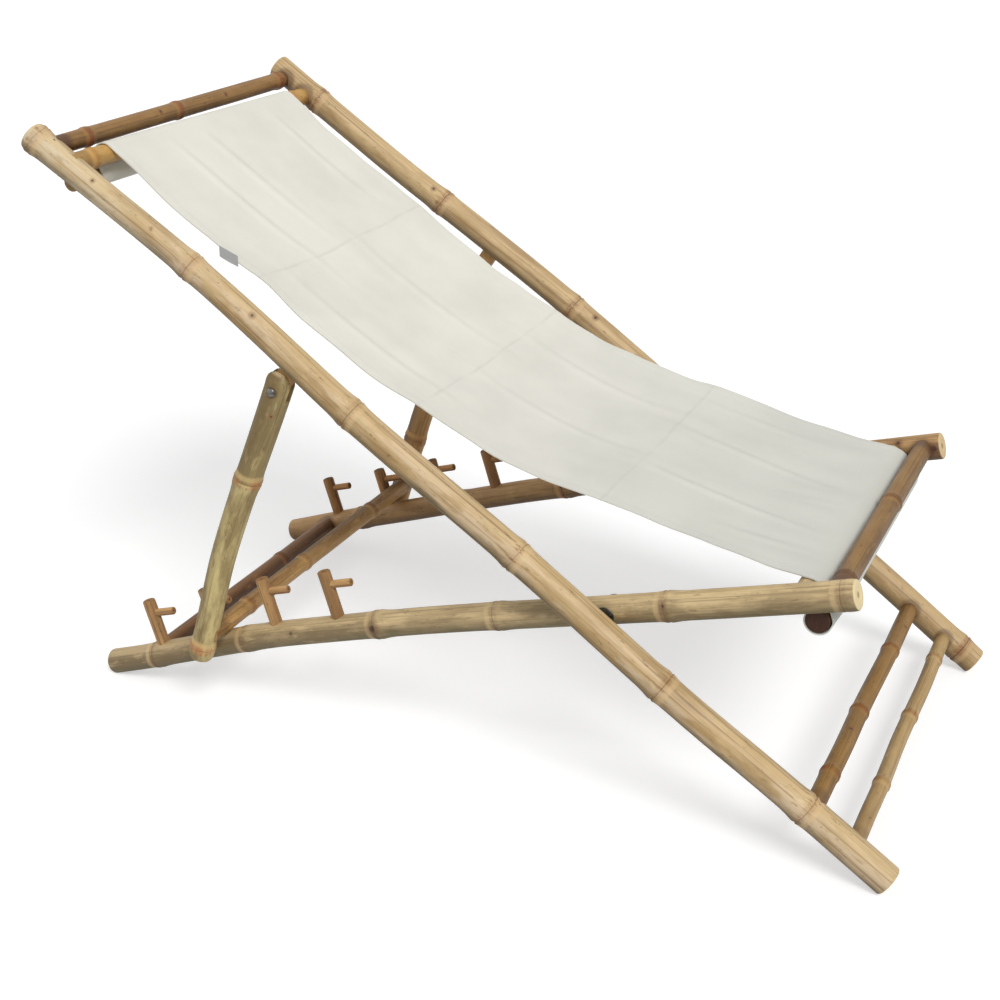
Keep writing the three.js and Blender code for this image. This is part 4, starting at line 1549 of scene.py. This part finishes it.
class SeatFrame(RailFrame):
    """The short frame: two rails, three crossbars, a loose rod and eight pegs."""

    body = "seat_frame"
    word = "seat"
    inward = -1
    rod_node = "front_sling_rod"
    rod_finish = DARK_END

    def __init__(self, place: Place, sizes: Sizes) -> None:
        """Sets out the rails, the crossbars and the rod.

        Args:
            place: The frame's place.
            sizes: The shared sizes.
        """
        own = SeatSizes()
        super().__init__(place, sizes, own, sizes.seat, sizes.seat_half, (sizes.seat_tip, sizes.seat_butt))
        rear = sum(rail.rise_at(own.rear_along) for rail in self.rails.values()) / 2
        bars = (
            Bar("front_bar", own.length - 0.026, 0.003, 0.0137, (0.08, 0.56), TAWNY),
            Bar("front_sling_bar", own.length - 0.071, 0.002, 0.014, (0.33, 0.7), GREY),
            Bar("rear_bar", own.rear_along, rear, 0.015, (0.3, 0.68), WALNUT, sink=0.16),
        )
        self.bars = {bar.node: bar for bar in bars}
        self.rod = self.rod_under(own.length - own.rod_from_end)

    def top(self, side: Side, along: float) -> float:
        """The height of a rail's upper side above its chord."""
        return self.rails[side].rise_at(along) + self.rails[side].taper_at(along)

    def hook(self, radius: float) -> Vector:
        """Finds where a bar drops in behind the second pair of pegs.

        Args:
            radius: The bar's radius.

        Returns:
            The middle of the bar, in the room.
        """
        own, off = self.own, self.sizes.gap + radius
        along = own.peg_first + own.peg_pitch + own.peg_radius + off
        rise = max(self.top(side, along) for side in Side) + off
        return self.place.matrix @ self.sizes.seat(along, 0, rise)

    def build(self) -> None:
        """Builds every piece of the frame."""
        for side in Side:
            self.lay_rail(side)
            for index in range(self.own.peg_count):
                self.peg(side, index)
        self.lay_bars()

    def peg(self, side: Side, index: int) -> None:
        """Sets one peg and the dowel through it on a rail.

        Args:
            side: The rail's side.
            index: The peg's number, from 0 at the rear.
        """
        own, across = self.own, side.value * self.half
        along = own.peg_first + index * own.peg_pitch
        top = self.top(side, along)
        level = top + own.dowel_lifts[side]
        post = [(along, top - own.peg_sink), (along, top + own.peg_heights[side])]
        dowel = [(along - own.dowel_sink, level), (along + own.dowel_reach, level)]
        finish = PEG if side is Side.RIGHT else PEG_DARK
        for word, run, radius, (curve, sides, spacing, wobble) in (
            ("post", post, own.peg_radius, (0.0024, 28, 0.006, 0.0009)),
            ("dowel", dowel, own.dowel_radius, (0.002, 22, 0.005, 0.0005)),
        ):
            start, end = (self.point(place, across, rise) for place, rise in run)
            facts = {"round": curve, "sides": sides, "spacing": spacing, "wobble": wobble}
            pole = slim((end - start).length, radius, (), **facts)
            self.lay(f"peg_{word}_{side.word}_{index + 1}", pole, (start, end), finish)


@dataclass
class PropSizes:
    """The prop frame's own sizes."""

    legs: dict[Side, Rail] = field(
        default_factory=lambda: {
            Side.RIGHT: Rail(
                -0.013, LEG_BEND, (0.357, 0.956), OLIVE, (Scar(0.06, -0.016, 0.009, 0.003),),
                tones=(1.25, 0.05, 0.1),
            ),
            Side.LEFT: Rail(-0.013, LEG_BEND, (0.293, 0.725), BARK, tones=(0.6, 0.8, 0.3)),
        }
    )
    top: float = 0.0192
    foot: float = 0.017
    above: float = 0.026
    below: float = 0.046
    top_round: float = 0.0165
    foot_round: float = 0.004
    bar_radius: float = 0.013
    tongue_half: float = 0.012
    play: float = 0.001
    pin: Stud = Stud(0.003, 0.0062, 0.003, (0.96, 0.98))
    pin_short: float = 0.004


class PropFrame(Assembly):
    """The prop: two legs hung under the back rails and the crossbar that drops into the pegs."""

    body = "prop_frame"

    def __init__(self, pivot: Vector, bar: Vector, sizes: Sizes, own: PropSizes) -> None:
        """Hangs the frame between its pivot and its crossbar.

        Args:
            pivot: The middle of the axis that the legs swing on.
            bar: The middle of the crossbar.
            sizes: The shared sizes.
            own: The frame's own sizes.
        """
        run = bar - pivot
        super().__init__(Place(pivot, math.atan2(-run.z, run.x)), sizes)
        self.own = own
        self.run = math.hypot(run.x, run.z)

    def build(self) -> None:
        """Builds the legs, the pins and the crossbar."""
        for side in Side:
            self.leg(side)
            self.pin(side)
        own = self.own
        reach = self.sizes.back_half - own.foot + 2 * own.foot * SUNK_SHARE
        ends = Vector((self.run, -reach, 0)), Vector((self.run, reach, 0))
        self.lay("prop_bar", slim(2 * reach, own.bar_radius, (0.16, 0.42, 0.77)), ends, AMBER)

    def leg(self, side: Side) -> None:
        """Hangs one leg, slotted for its tongue.

        Args:
            side: Its side.
        """
        own, across = self.own, side.value * self.sizes.back_half
        shape, length = own.legs[side], own.above + self.run + own.below
        leg = shape.pole(length, own.top, own.foot, own.foot_round)
        leg.start_round = own.top_round
        reach, width = own.above + own.tongue_half + own.play, own.tongue_half / 2 + own.play / 2
        slot = Vector((-0.05, -width, -0.06)), Vector((reach, width, 0.06))
        ends = Vector((-own.above, across, 0)), Vector((length - own.above, across, 0))
        spots = [*shape.scars, Mortise(own.above, side.value * own.top, 0.0, own.pin.radius)]
        self.lay(f"prop_leg_{side.word}", leg, ends, shape.finish, spots, [slot])

    def pin(self, side: Side) -> None:
        """Turns the pin on which one leg swings.

        Args:
            side: Its side.
        """
        own, half = self.own, self.sizes.back_half
        outer = half + own.top + self.sizes.gap + own.pin.head
        inner = half - own.top + own.pin_short
        start, end = (Vector((0, side.value * across, 0)) for across in (outer, inner))
        self.turn(f"prop_pin_{side.word}", own.pin.outline(outer - inner), start, end)


@dataclass
class Wrap:
    """A round bar that the cloth passes over, seen from the side."""

    centre: Vector
    radius: float
    spin: int

    def at(self, angle: float) -> Vector:
        """The cloth's point on the bar where its left-hand normal has this angle."""
        return self.centre + Vector((math.cos(angle), math.sin(angle))) * (-self.spin * self.radius)

    def crossing(self, other: "Wrap") -> float:
        """Draws a taut line from this bar to the next.

        Args:
            other: The next bar.

        Returns:
            The angle of the line's normal.
        """
        run = other.centre - self.centre
        lean = (other.spin * other.radius - self.spin * self.radius) / run.length
        return math.atan2(run.y, run.x) + math.acos(lean)

    def arc(self, start: float, end: float, steps: int) -> list[Vector]:
        """Passes the cloth round the bar.

        Args:
            start: The normal's angle where the cloth comes on.
            end: Its angle where the cloth leaves.
            steps: How many steps it takes.

        Returns:
            The cloth's points.
        """
        sweep = (end - start) % (2 * math.pi) - (2 * math.pi if self.spin < 0 else 0)
        return [self.at(start + sweep * step / steps) for step in range(steps + 1)]


def thin_sheet(
    columns: int,
    rows: int,
    point: Callable[[int, int, int], Vector],
    chart: Callable[[int, int], tuple[float, float]],
) -> bmesh.types.BMesh:
    """Makes a closed thin sheet from a grid.

    Args:
        columns: Points across.
        rows: Points along.
        point: Gives the place of a point from its column, its row and its face, 1 or -1.
        chart: Gives its place on the cloth's own map.

    Returns:
        The sheet, with the map named cloth.
    """
    maker = bmesh.new()
    bmesh.ops.create_grid(maker, x_segments=columns - 1, y_segments=rows - 1, size=0.5)
    column, row, face = (maker.verts.layers.int.new(word) for word in ("column", "row", "face"))
    for vert in maker.verts:
        vert[column] = round((vert.co.x + 0.5) * (columns - 1))
        vert[row] = round((vert.co.y + 0.5) * (rows - 1))
        vert[face] = -1
    top = bmesh.ops.extrude_face_region(maker, geom=list(maker.faces))
    for vert in (each for each in top["geom"] if isinstance(each, bmesh.types.BMVert)):
        vert[face] = 1
    for vert in maker.verts:
        vert.co = point(vert[column], vert[row], vert[face])
    plane = maker.loops.layers.uv.new("cloth")
    for loop in (loop for each in maker.faces for loop in each.loops):
        loop[plane].uv = chart(loop.vert[column], loop.vert[row])
    return maker


@dataclass(frozen=True)
class Pucker:
    """A short crease along the cloth: its place, lean and depth, and its middle and spread as shares."""

    place: float
    lean: float
    depth: float
    middle: float
    spread: float
    width: float = 0.0075

    def lift(self, across: float, share: float) -> float:
        """Lifts the cloth at one place.

        Args:
            across: The place's width.
            share: Its share of the way from the head bar to the front bar.

        Returns:
            How far the cloth is lifted.
        """
        off = share - self.middle
        wave = (across - self.place - self.lean * off) / self.width
        return self.depth * (hump(wave) - 0.45 * hump((wave - 1.9) / 1.3)) * hump(off / self.spread)


@dataclass
class SlingSizes:
    """The canvas sling's sizes."""

    side_gap: float = 0.0068
    thickness: float = 0.0012
    hem: float = 0.014
    hem_share: float = 1.45
    gap: float = 0.0004
    ring: float = 0.0013
    head_dip: float = math.radians(36)
    front_dip: float = math.radians(8)
    drops: Table = (
        (0, 0), (0.136, 0.0316), (0.235, 0.0483), (0.394, 0.0734), (0.52, 0.0835), (0.646, 0.0805),
        (0.796, 0.049), (0.918, 0.0226), (1, 0),
    )
    cross_sag: float = 0.008
    bulge: float = 0.022
    front_bulge: float = 0.006
    mouth: float = 0.035
    drop: float = 0.024
    lap: float = 0.009
    flare: float = 0.0205
    slack: float = 0.0105
    seat_steps: int = 230
    wrap_steps: int = 16
    tail_steps: int = 16
    strips: int = 104
    blend_head: float = 0.3
    blend_front: float = 0.225
    folds: tuple[float, ...] = (0.245, 0.49, 0.745)
    fold_height: float = 0.0032
    fold_reach: float = 0.06
    puckers: tuple[Pucker, ...] = (
        Pucker(-0.105, 0.11, 0.0022, 0.12, 0.13),
        Pucker(-0.03, 0.1, 0.002, 0.09, 0.1),
        Pucker(0.145, 0.08, 0.0018, 0.08, 0.09),
        Pucker(-0.17, 0.03, 0.0016, 0.4, 0.12),
        Pucker(0.03, 0.04, 0.0014, 0.36, 0.14),
        Pucker(0.11, -0.03, 0.0014, 0.62, 0.12),
        Pucker(-0.06, -0.04, 0.0016, 0.62, 0.1),
        Pucker(0.17, -0.05, 0.0012, 0.84, 0.08),
        Pucker(0.05, -0.16, 0.0022, 0.85, 0.1),
        Pucker(-0.1, -0.12, 0.0028, 0.86, 0.1),
        Pucker(-0.175, 0.1, 0.002, 0.93, 0.05),
        Pucker(-0.02, 0.2, 0.0012, 0.95, 0.04),
    )


@dataclass(frozen=True)
class TagSizes:
    """The blank tag's sizes."""

    steps: int = 8
    half: float = 0.012
    half_thick: float = 0.00005
    curl: float = 0.0012
    slope: float = 0.42
    hem: float = 0.0012
    pitch: float = 0.0006
    chart: tuple[float, float] = (0.003, 0.0018)


class Sling:
    """The canvas that hangs between the two frames, with its blank tag."""

    def __init__(self, back: BackFrame, seat: SeatFrame, sizes: Sizes) -> None:
        """Keeps the frames that it hangs between.

        Args:
            back: The back frame.
            seat: The seat frame.
            sizes: The shared sizes.
        """
        self.back = back
        self.seat = seat
        self.sizes = sizes
        self.own = SlingSizes()
        self.half = sizes.seat_half - sizes.seat_butt - self.own.side_gap

    def wrap(self, frame: RailFrame, ends: Ends, radius: float, spin: int, across: float) -> Wrap:
        """Passes the cloth round a bar where the bar's middle line is at one width.

        Args:
            frame: The bar's frame.
            ends: The bar's ends.
            radius: Its radius.
            spin: 1 or -1, the way that the cloth turns round it.
            across: The width.

        Returns:
            The bar, as thick as the middle of the cloth round it.
        """
        right, left = ends
        room = frame.place.matrix @ right.lerp(left, (across - right.y) / (left.y - right.y))
        skin = self.own.gap + self.own.thickness / 2 + self.own.ring
        return Wrap(Vector((room.x, room.z)), radius + skin, spin)

    def over(self, frame: RailFrame, node: str, across: float) -> Wrap:
        """Passes the cloth over one of a frame's crossbars."""
        return self.wrap(frame, frame.bar_ends(node), frame.bars[node].radius, -1, across)

    def tail(self, wrap: Wrap, way: int, angle: float, bulge: float) -> list[Vector]:
        """Hangs the slack side of a pocket.

        Args:
            wrap: The pocket's rod.
            way: 1 for the front pocket and -1 for the head pocket.
            angle: The rails' angle.
            bulge: How far the slack side stands out.

        Returns:
            The cloth's points.
        """
        own = self.own
        out = Vector((way * math.cos(angle), way * math.sin(angle)))
        up = Vector((-math.sin(angle), math.cos(angle)))
        corner, wide = wrap.radius * math.sqrt(0.5), wrap.radius + bulge / 4
        lapped = wrap.radius + own.lap / 4
        places = ((corner, -corner), (wide, -own.drop / 8), (wide, own.drop / 2), (lapped, own.drop))
        return through([wrap.centre + out * a + up * b for a, b in places], own.tail_steps)

    def hang(self, start: Vector, end: Vector, across: float) -> list[Vector]:
        """Hangs the cloth between the two bars.

        Args:
            start: Where it leaves the head bar.
            end: Where it comes on the front bar.
            across: The width.

        Returns:
            The cloth's points.
        """
        own, span, found = self.own, end - start, []
        down = Vector((span.y, -span.x))
        for share in (step / own.seat_steps for step in range(1, own.seat_steps)):
            sag = own.cross_sag * (1 - (across / self.half) ** 2) * math.sin(math.pi * share) ** 2
            spot = start + span * share + down * read_shares(own.drops, share)
            found.append(spot - Vector((0, sag)))
        return found

    def face(self, over: list[Vector], below: Vector, lean: float) -> list[Vector]:
        """Hangs the cloth from the front bar to the front rod, where it stands out a little.

        Args:
            over: Its points on the front bar.
            below: Where it comes on the rod.
            lean: The seat's angle.

        Returns:
            The cloth's points.
        """
        steps, out = self.own.wrap_steps, Vector((math.cos(lean), math.sin(lean))) * self.own.slack
        spots = over + [over[-1].lerp(below, step / steps) for step in range(1, steps)]
        turn = math.pi / (len(spots) - 1)
        return [spot + out * math.sin(turn * index) ** 2 for index, spot in enumerate(spots)]

    def line(self, across: float) -> list[Vector]:
        """Draws the cloth's path at one width.

        Args:
            across: The width.

        Returns:
            Its points, from the head pocket to the front pocket.
        """
        own, back, seat, steps = self.own, self.back, self.seat, self.own.wrap_steps
        head_rod = self.wrap(back, back.rod, back.own.rod_radius, 1, across)
        head_bar = self.over(back, "head_sling_bar", across)
        front_bar = self.over(seat, "front_sling_bar", across)
        front_rod = self.wrap(seat, seat.rod, seat.own.rod_radius, 1, across)
        leave, arrive = QUARTER - own.head_dip, QUARTER - own.front_dip
        head_cross, front_cross = head_rod.crossing(head_bar), front_bar.crossing(front_rod)
        slope, lean = -self.sizes.back_angle, -seat.place.angle
        bulge = between(own.front_bulge, own.bulge, ease((self.half - abs(across)) / own.mouth))
        return [
            *reversed(self.tail(head_rod, -1, slope, own.bulge)),
            *head_rod.arc(QUARTER / 2 + slope, head_cross, steps),
            *head_bar.arc(head_cross, leave, steps),
            *self.hang(head_bar.at(leave), front_bar.at(arrive), across),
            *self.face(front_bar.arc(arrive, front_cross, steps), front_rod.at(front_cross), lean),
            *front_rod.arc(front_cross, lean + QUARTER * 1.5, steps),
            *self.tail(front_rod, 1, lean, bulge),
        ]

    def ripple(self, across: float, share: float) -> float:
        """Lifts the cloth off its path between the bars, by its creases and puckers.

        Args:
            across: The width.
            share: The share of the way from the head bar to the front bar.

        Returns:
            How far it is lifted.
        """
        if not 0 < share < 1:
            return 0.0
        own = self.own
        lift = uneven(across * 6, share * 4.2, 3.1) * 0.0032 + uneven(across * 26, share * 7, 8.4) * 0.0011
        for fold in own.folds:
            away = abs(share - fold + uneven(across * 7, fold * 20, 0.4) * 0.007)
            lift += own.fold_height * max(0.0, 1 - away / own.fold_reach) ** 2 - 0.0009 * hump(away / 0.0045)
        lift += sum(pucker.lift(across, share) for pucker in own.puckers)
        bend = uneven(across * 9, share * 3, 0) * 3
        lift += 0.0019 * math.exp(-(1 - share) / 0.06) * math.sin(across * 88 + bend)
        lift += 0.0008 * math.exp(-share / 0.04) * math.sin(across * 70 + bend)
        lift += 0.0045 * math.exp(-(self.half - abs(across)) / 0.02) * uneven(share * 16, across * 3, 5.2)
        return lift * min(share / 0.05, (1 - share) / 0.05, 1.0)

    def room(self, spot: Vector) -> float:
        """Finds half the width that the seat rails leave for the cloth.

        Args:
            spot: A point of the cloth's path.

        Returns:
            Half the width at its height.
        """
        sizes = self.sizes
        local = self.seat.place.matrix.inverted() @ Vector((spot.x, 0, spot.y))
        rise, clear = local.z + sizes.seat_lift, sizes.seat_butt + self.own.thickness
        if abs(rise) < clear:
            return sizes.seat_half - math.sqrt(clear**2 - rise**2)
        return sizes.seat_half - self.seat.own.rod_short - self.own.gap

    def widths(self) -> list[float]:
        """Spaces the cloth's lines, closer together at the hems.

        Returns:
            The widths from right to left.
        """
        inner, strips = self.half - self.own.hem, self.own.strips
        flat = inner - 0.0012
        hem = [self.half, self.half - 0.0015, inner + 0.002, inner + 0.0002, flat]
        spaced = [flat * 2 * step / strips - flat for step in range(1, strips)]
        return [-value for value in hem] + spaced + hem[::-1]

    def build(self) -> None:
        """Builds the cloth and the tag."""
        own, widths = self.own, self.widths()
        lines = [self.line(across) for across in widths]
        middle, rows = lines[len(lines) // 2], len(lines[0])
        runs = ((after - here).length for here, after in zip(middle, middle[1:]))
        length = list(accumulate(runs, initial=0.0))
        first = own.tail_steps + 2 * (own.wrap_steps + 1)
        turned = first + own.seat_steps + own.wrap_steps
        room = [self.half if row < turned else self.room(middle[row]) for row in range(rows)]

        def point(column: int, row: int, face: int) -> Vector:
            """Places a point of one face of the cloth.

            Args:
                column: Its line.
                row: Its number along the line.
                face: 1 for the upper face and -1 for the lower one.

            Returns:
                The point in the room.
            """
            path, across = lines[column], widths[column]
            reach = min(self.half + own.flare * ease((row - turned) / own.wrap_steps), room[row])
            run = (path[min(row + 1, rows - 1)] - path[max(row - 1, 0)]).normalized()
            thick = own.thickness / 2 * (own.hem_share if abs(across) > self.half - own.hem else 1.0)
            off = self.ripple(across, (row - first) / own.seat_steps) + face * thick
            return Vector((path[row].x - run.y * off, across * reach / self.half, path[row].y + run.x * off))

        maker = thin_sheet(len(widths), rows, point, lambda column, row: (widths[column], length[row]))
        piece = smooth_object("sling_cloth", maker, 50.0)
        pockets = (length[own.tail_steps // 2 + 2], length[rows - own.tail_steps // 2 - 3])
        folds = tuple(length[first + round(own.seat_steps * share)] for share in own.folds)
        # The span that is painted darker towards the front, as painted shade.
        front_shade_span = (length[first], length[-1])
        finish = ClothFinish("canvas", 0xE9E6DB, 0xDAD8CC, self.half, folds=folds, seams=pockets, dull=front_shade_span)
        piece.data.materials.append(finish.material("canvas_sling"))
        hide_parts("sling")
        pivot = self.back.place.origin
        head, front = pivot - Vector((own.blend_head, 0, 0)), pivot + Vector((own.blend_front, 0, 0))
        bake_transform(piece)
        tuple(head)
        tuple(front)
        tag = self.tag()
        2 * self.half
        LOG.info("%s: %.3f by %.3f m", piece.name, 2 * self.half, length[-1])

    def tag(self) -> bpy.types.Object:
        """Builds the small blank tag that is sewn under the edge.

        Returns:
            The tag.
        """
        own = TagSizes()
        low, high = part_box("care_tag")
        size, middle, slope = high - low, (low.y + high.y) / 2, (high.z - low.z) * own.slope

        def point(column: int, row: int, face: int) -> Vector:
            """Places a point of the tag, which curls a little.

            Args:
                column: Its number along the edge.
                row: Its number down from the edge.
                face: 1 for the near face and -1 for the far one.

            Returns:
                The point in the room.
            """
            share, fall = column / own.steps, row / own.steps
            bow = math.sin(share * math.pi) * own.curl * fall
            down = slope * share + fall * (size.z - slope)
            return Vector((low.x + size.x * share, middle - own.half_thick * face - bow, high.z - down))

        count, (wide, tall) = own.steps + 1, own.chart
        maker = thin_sheet(count, count, point, lambda column, row: (column * wide, row * tall))
        piece = smooth_object("care_tag_tape", maker, 50.0)
        finish = ClothFinish("tag", 0xBDBFBF, 0xA4A6A6, own.half, pitch=own.pitch, hem=own.hem)
        piece.data.materials.append(finish.material("tag_tape"))
        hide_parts("care_tag")
        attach(piece, "back_frame")
        return piece


@dataclass(frozen=True)
class Lamp:
    """A broad lamp: its strength, its spread in degrees and where it shines."""

    name: str
    energy: float
    spread: float
    toward: Triple


@dataclass(frozen=True)
class View:
    """The photograph's camera: its lens, its place and where its right, down and ahead point."""

    sensor: float = 36.0
    lens: float = 59.375
    shift_x: float = -0.00466
    shift_y: float = 0.00678
    spot: Triple = (0.8430, -2.0241, 1.2585)
    right: Triple = (0.911593, 0.410878, 0.013274)
    down: Triple = (0.178774, -0.367145, -0.912822)
    ahead: Triple = (-0.370185, 0.834496, -0.408141)


@dataclass(frozen=True)
class StudioSizes:
    """The studio's floor, lamps and sky."""

    floor_radius: float = 16.0
    floor_drop: float = 0.0005
    floor_grey: float = 0.62
    floor_glow: float = 0.5
    sky: float = 0.43
    lamps: tuple[Lamp, ...] = (
        Lamp("key", 2.0, 24.0, (-0.5, 0.5, -0.75)),
        Lamp("fill", 0.45, 60.0, (0.8, 0.3, -0.5)),
    )


class Studio:
    """A pale floor, soft light and the camera."""

    def __init__(self) -> None:
        """Keeps the sizes and the view."""
        self.own = StudioSizes()
        self.view = View()

    def build(self) -> None:
        """Builds everything that isn't part of the chair."""
        self.floor()
        self.light()
        self.camera()

    def floor(self) -> None:
        """Lays the floor, which is white to the camera and keeps the shadow."""
        own, grey = self.own, self.own.floor_grey
        maker = bmesh.new()
        bmesh.ops.create_circle(maker, cap_ends=True, segments=96, radius=own.floor_radius)
        bmesh.ops.translate(maker, vec=(0, 0, -own.floor_drop), verts=maker.verts)
        floor = smooth_object("floor", maker)
        material, graph = new_material("floor")
        glow = graph.background_ray() * own.floor_glow
        matt = graph.node("ShaderNodeBsdfDiffuse", None, {"Color": (grey, grey, grey, 1)})
        light = graph.node("ShaderNodeEmission", None, {"Color": WHITE, "Strength": glow})
        both = graph.node("ShaderNodeAddShader", None, {0: matt, 1: light})
        graph.node("ShaderNodeOutputMaterial", None, {"Surface": both})
        floor.data.materials.append(material)

    def light(self) -> None:
        """Hangs the lamps and an even sky."""
        scene, sky = bpy.context.scene, self.own.sky
        for lamp in self.own.lamps:
            light = bpy.data.lights.new(lamp.name, "SUN")
            light.energy = lamp.energy
            light.angle = math.radians(lamp.spread)
            holder = bpy.data.objects.new(lamp.name, light)
            holder.rotation_euler = Vector(lamp.toward).to_track_quat("-Z", "Y").to_euler()
            scene.collection.objects.link(holder)
        scene.world = bpy.data.worlds.new("sky")
        scene.world.use_nodes = True
        graph = Graph(scene.world.node_tree)
        strength = sky + graph.background_ray() * (1 - sky)
        glow = graph.node("ShaderNodeBackground", None, {"Color": WHITE, "Strength": strength})
        graph.node("ShaderNodeOutputWorld", None, {"Surface": glow})
        scene.view_settings.view_transform = "Standard"

    def camera(self) -> None:
        """Sets the camera at the photograph's place and angle."""
        scene, view = bpy.context.scene, self.view
        lens = bpy.data.cameras.new("camera")
        lens.sensor_width = view.sensor
        lens.lens = view.lens
        lens.shift_x = view.shift_x
        lens.shift_y = view.shift_y
        right, down, ahead = Vector(view.right), Vector(view.down), Vector(view.ahead)
        turn = Matrix((right, -down, -ahead)).transposed().to_4x4()
        holder = bpy.data.objects.new("camera", lens)
        holder.matrix_world = Matrix.Translation(view.spot) @ turn
        scene.collection.objects.link(holder)
        scene.camera = holder


def lean_of_seat(sizes: Sizes, seat_rise: float) -> float:
    """Finds the seat frame's angle above the floor, from where both frames stand.

    Args:
        sizes: The shared sizes.
        seat_rise: How far the near seat rail's rear end stands above its chord.

    Returns:
        The angle.
    """
    pivot = (sizes.from_foot - sizes.end_round) * math.sin(sizes.back_angle)
    pivot += (sizes.back_lift + sizes.back_butt) * math.cos(sizes.back_angle)
    run = sizes.from_rear - sizes.end_round
    fall = sizes.seat_lift + sizes.seat_tip - seat_rise
    return math.asin(pivot / math.hypot(run, fall)) - math.atan2(fall, run)


def main() -> None:
    """Builds the chair and the studio."""
    logging.basicConfig(level=logging.INFO, format="%(message)s")
    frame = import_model()
    pivots = {joint["name"]: Vector(joint["pos_m"]) for joint in frame["joints"]}
    sizes, prop_sizes, near = Sizes(), PropSizes(), SeatSizes().rails[Side.RIGHT]
    back = BackFrame(Place(pivots["fold"], sizes.back_angle), sizes)
    lean = lean_of_seat(sizes, near.rise * near.bend[0][1])
    seat = SeatFrame(Place(pivots["fold"], -lean), sizes)
    back.build()
    seat.build()
    PropFrame(pivots["prop_swing"], seat.hook(prop_sizes.bar_radius), sizes, prop_sizes).build()
    Sling(back, seat, sizes).build()
    Studio().build()


if __name__ == "__main__":
    main()
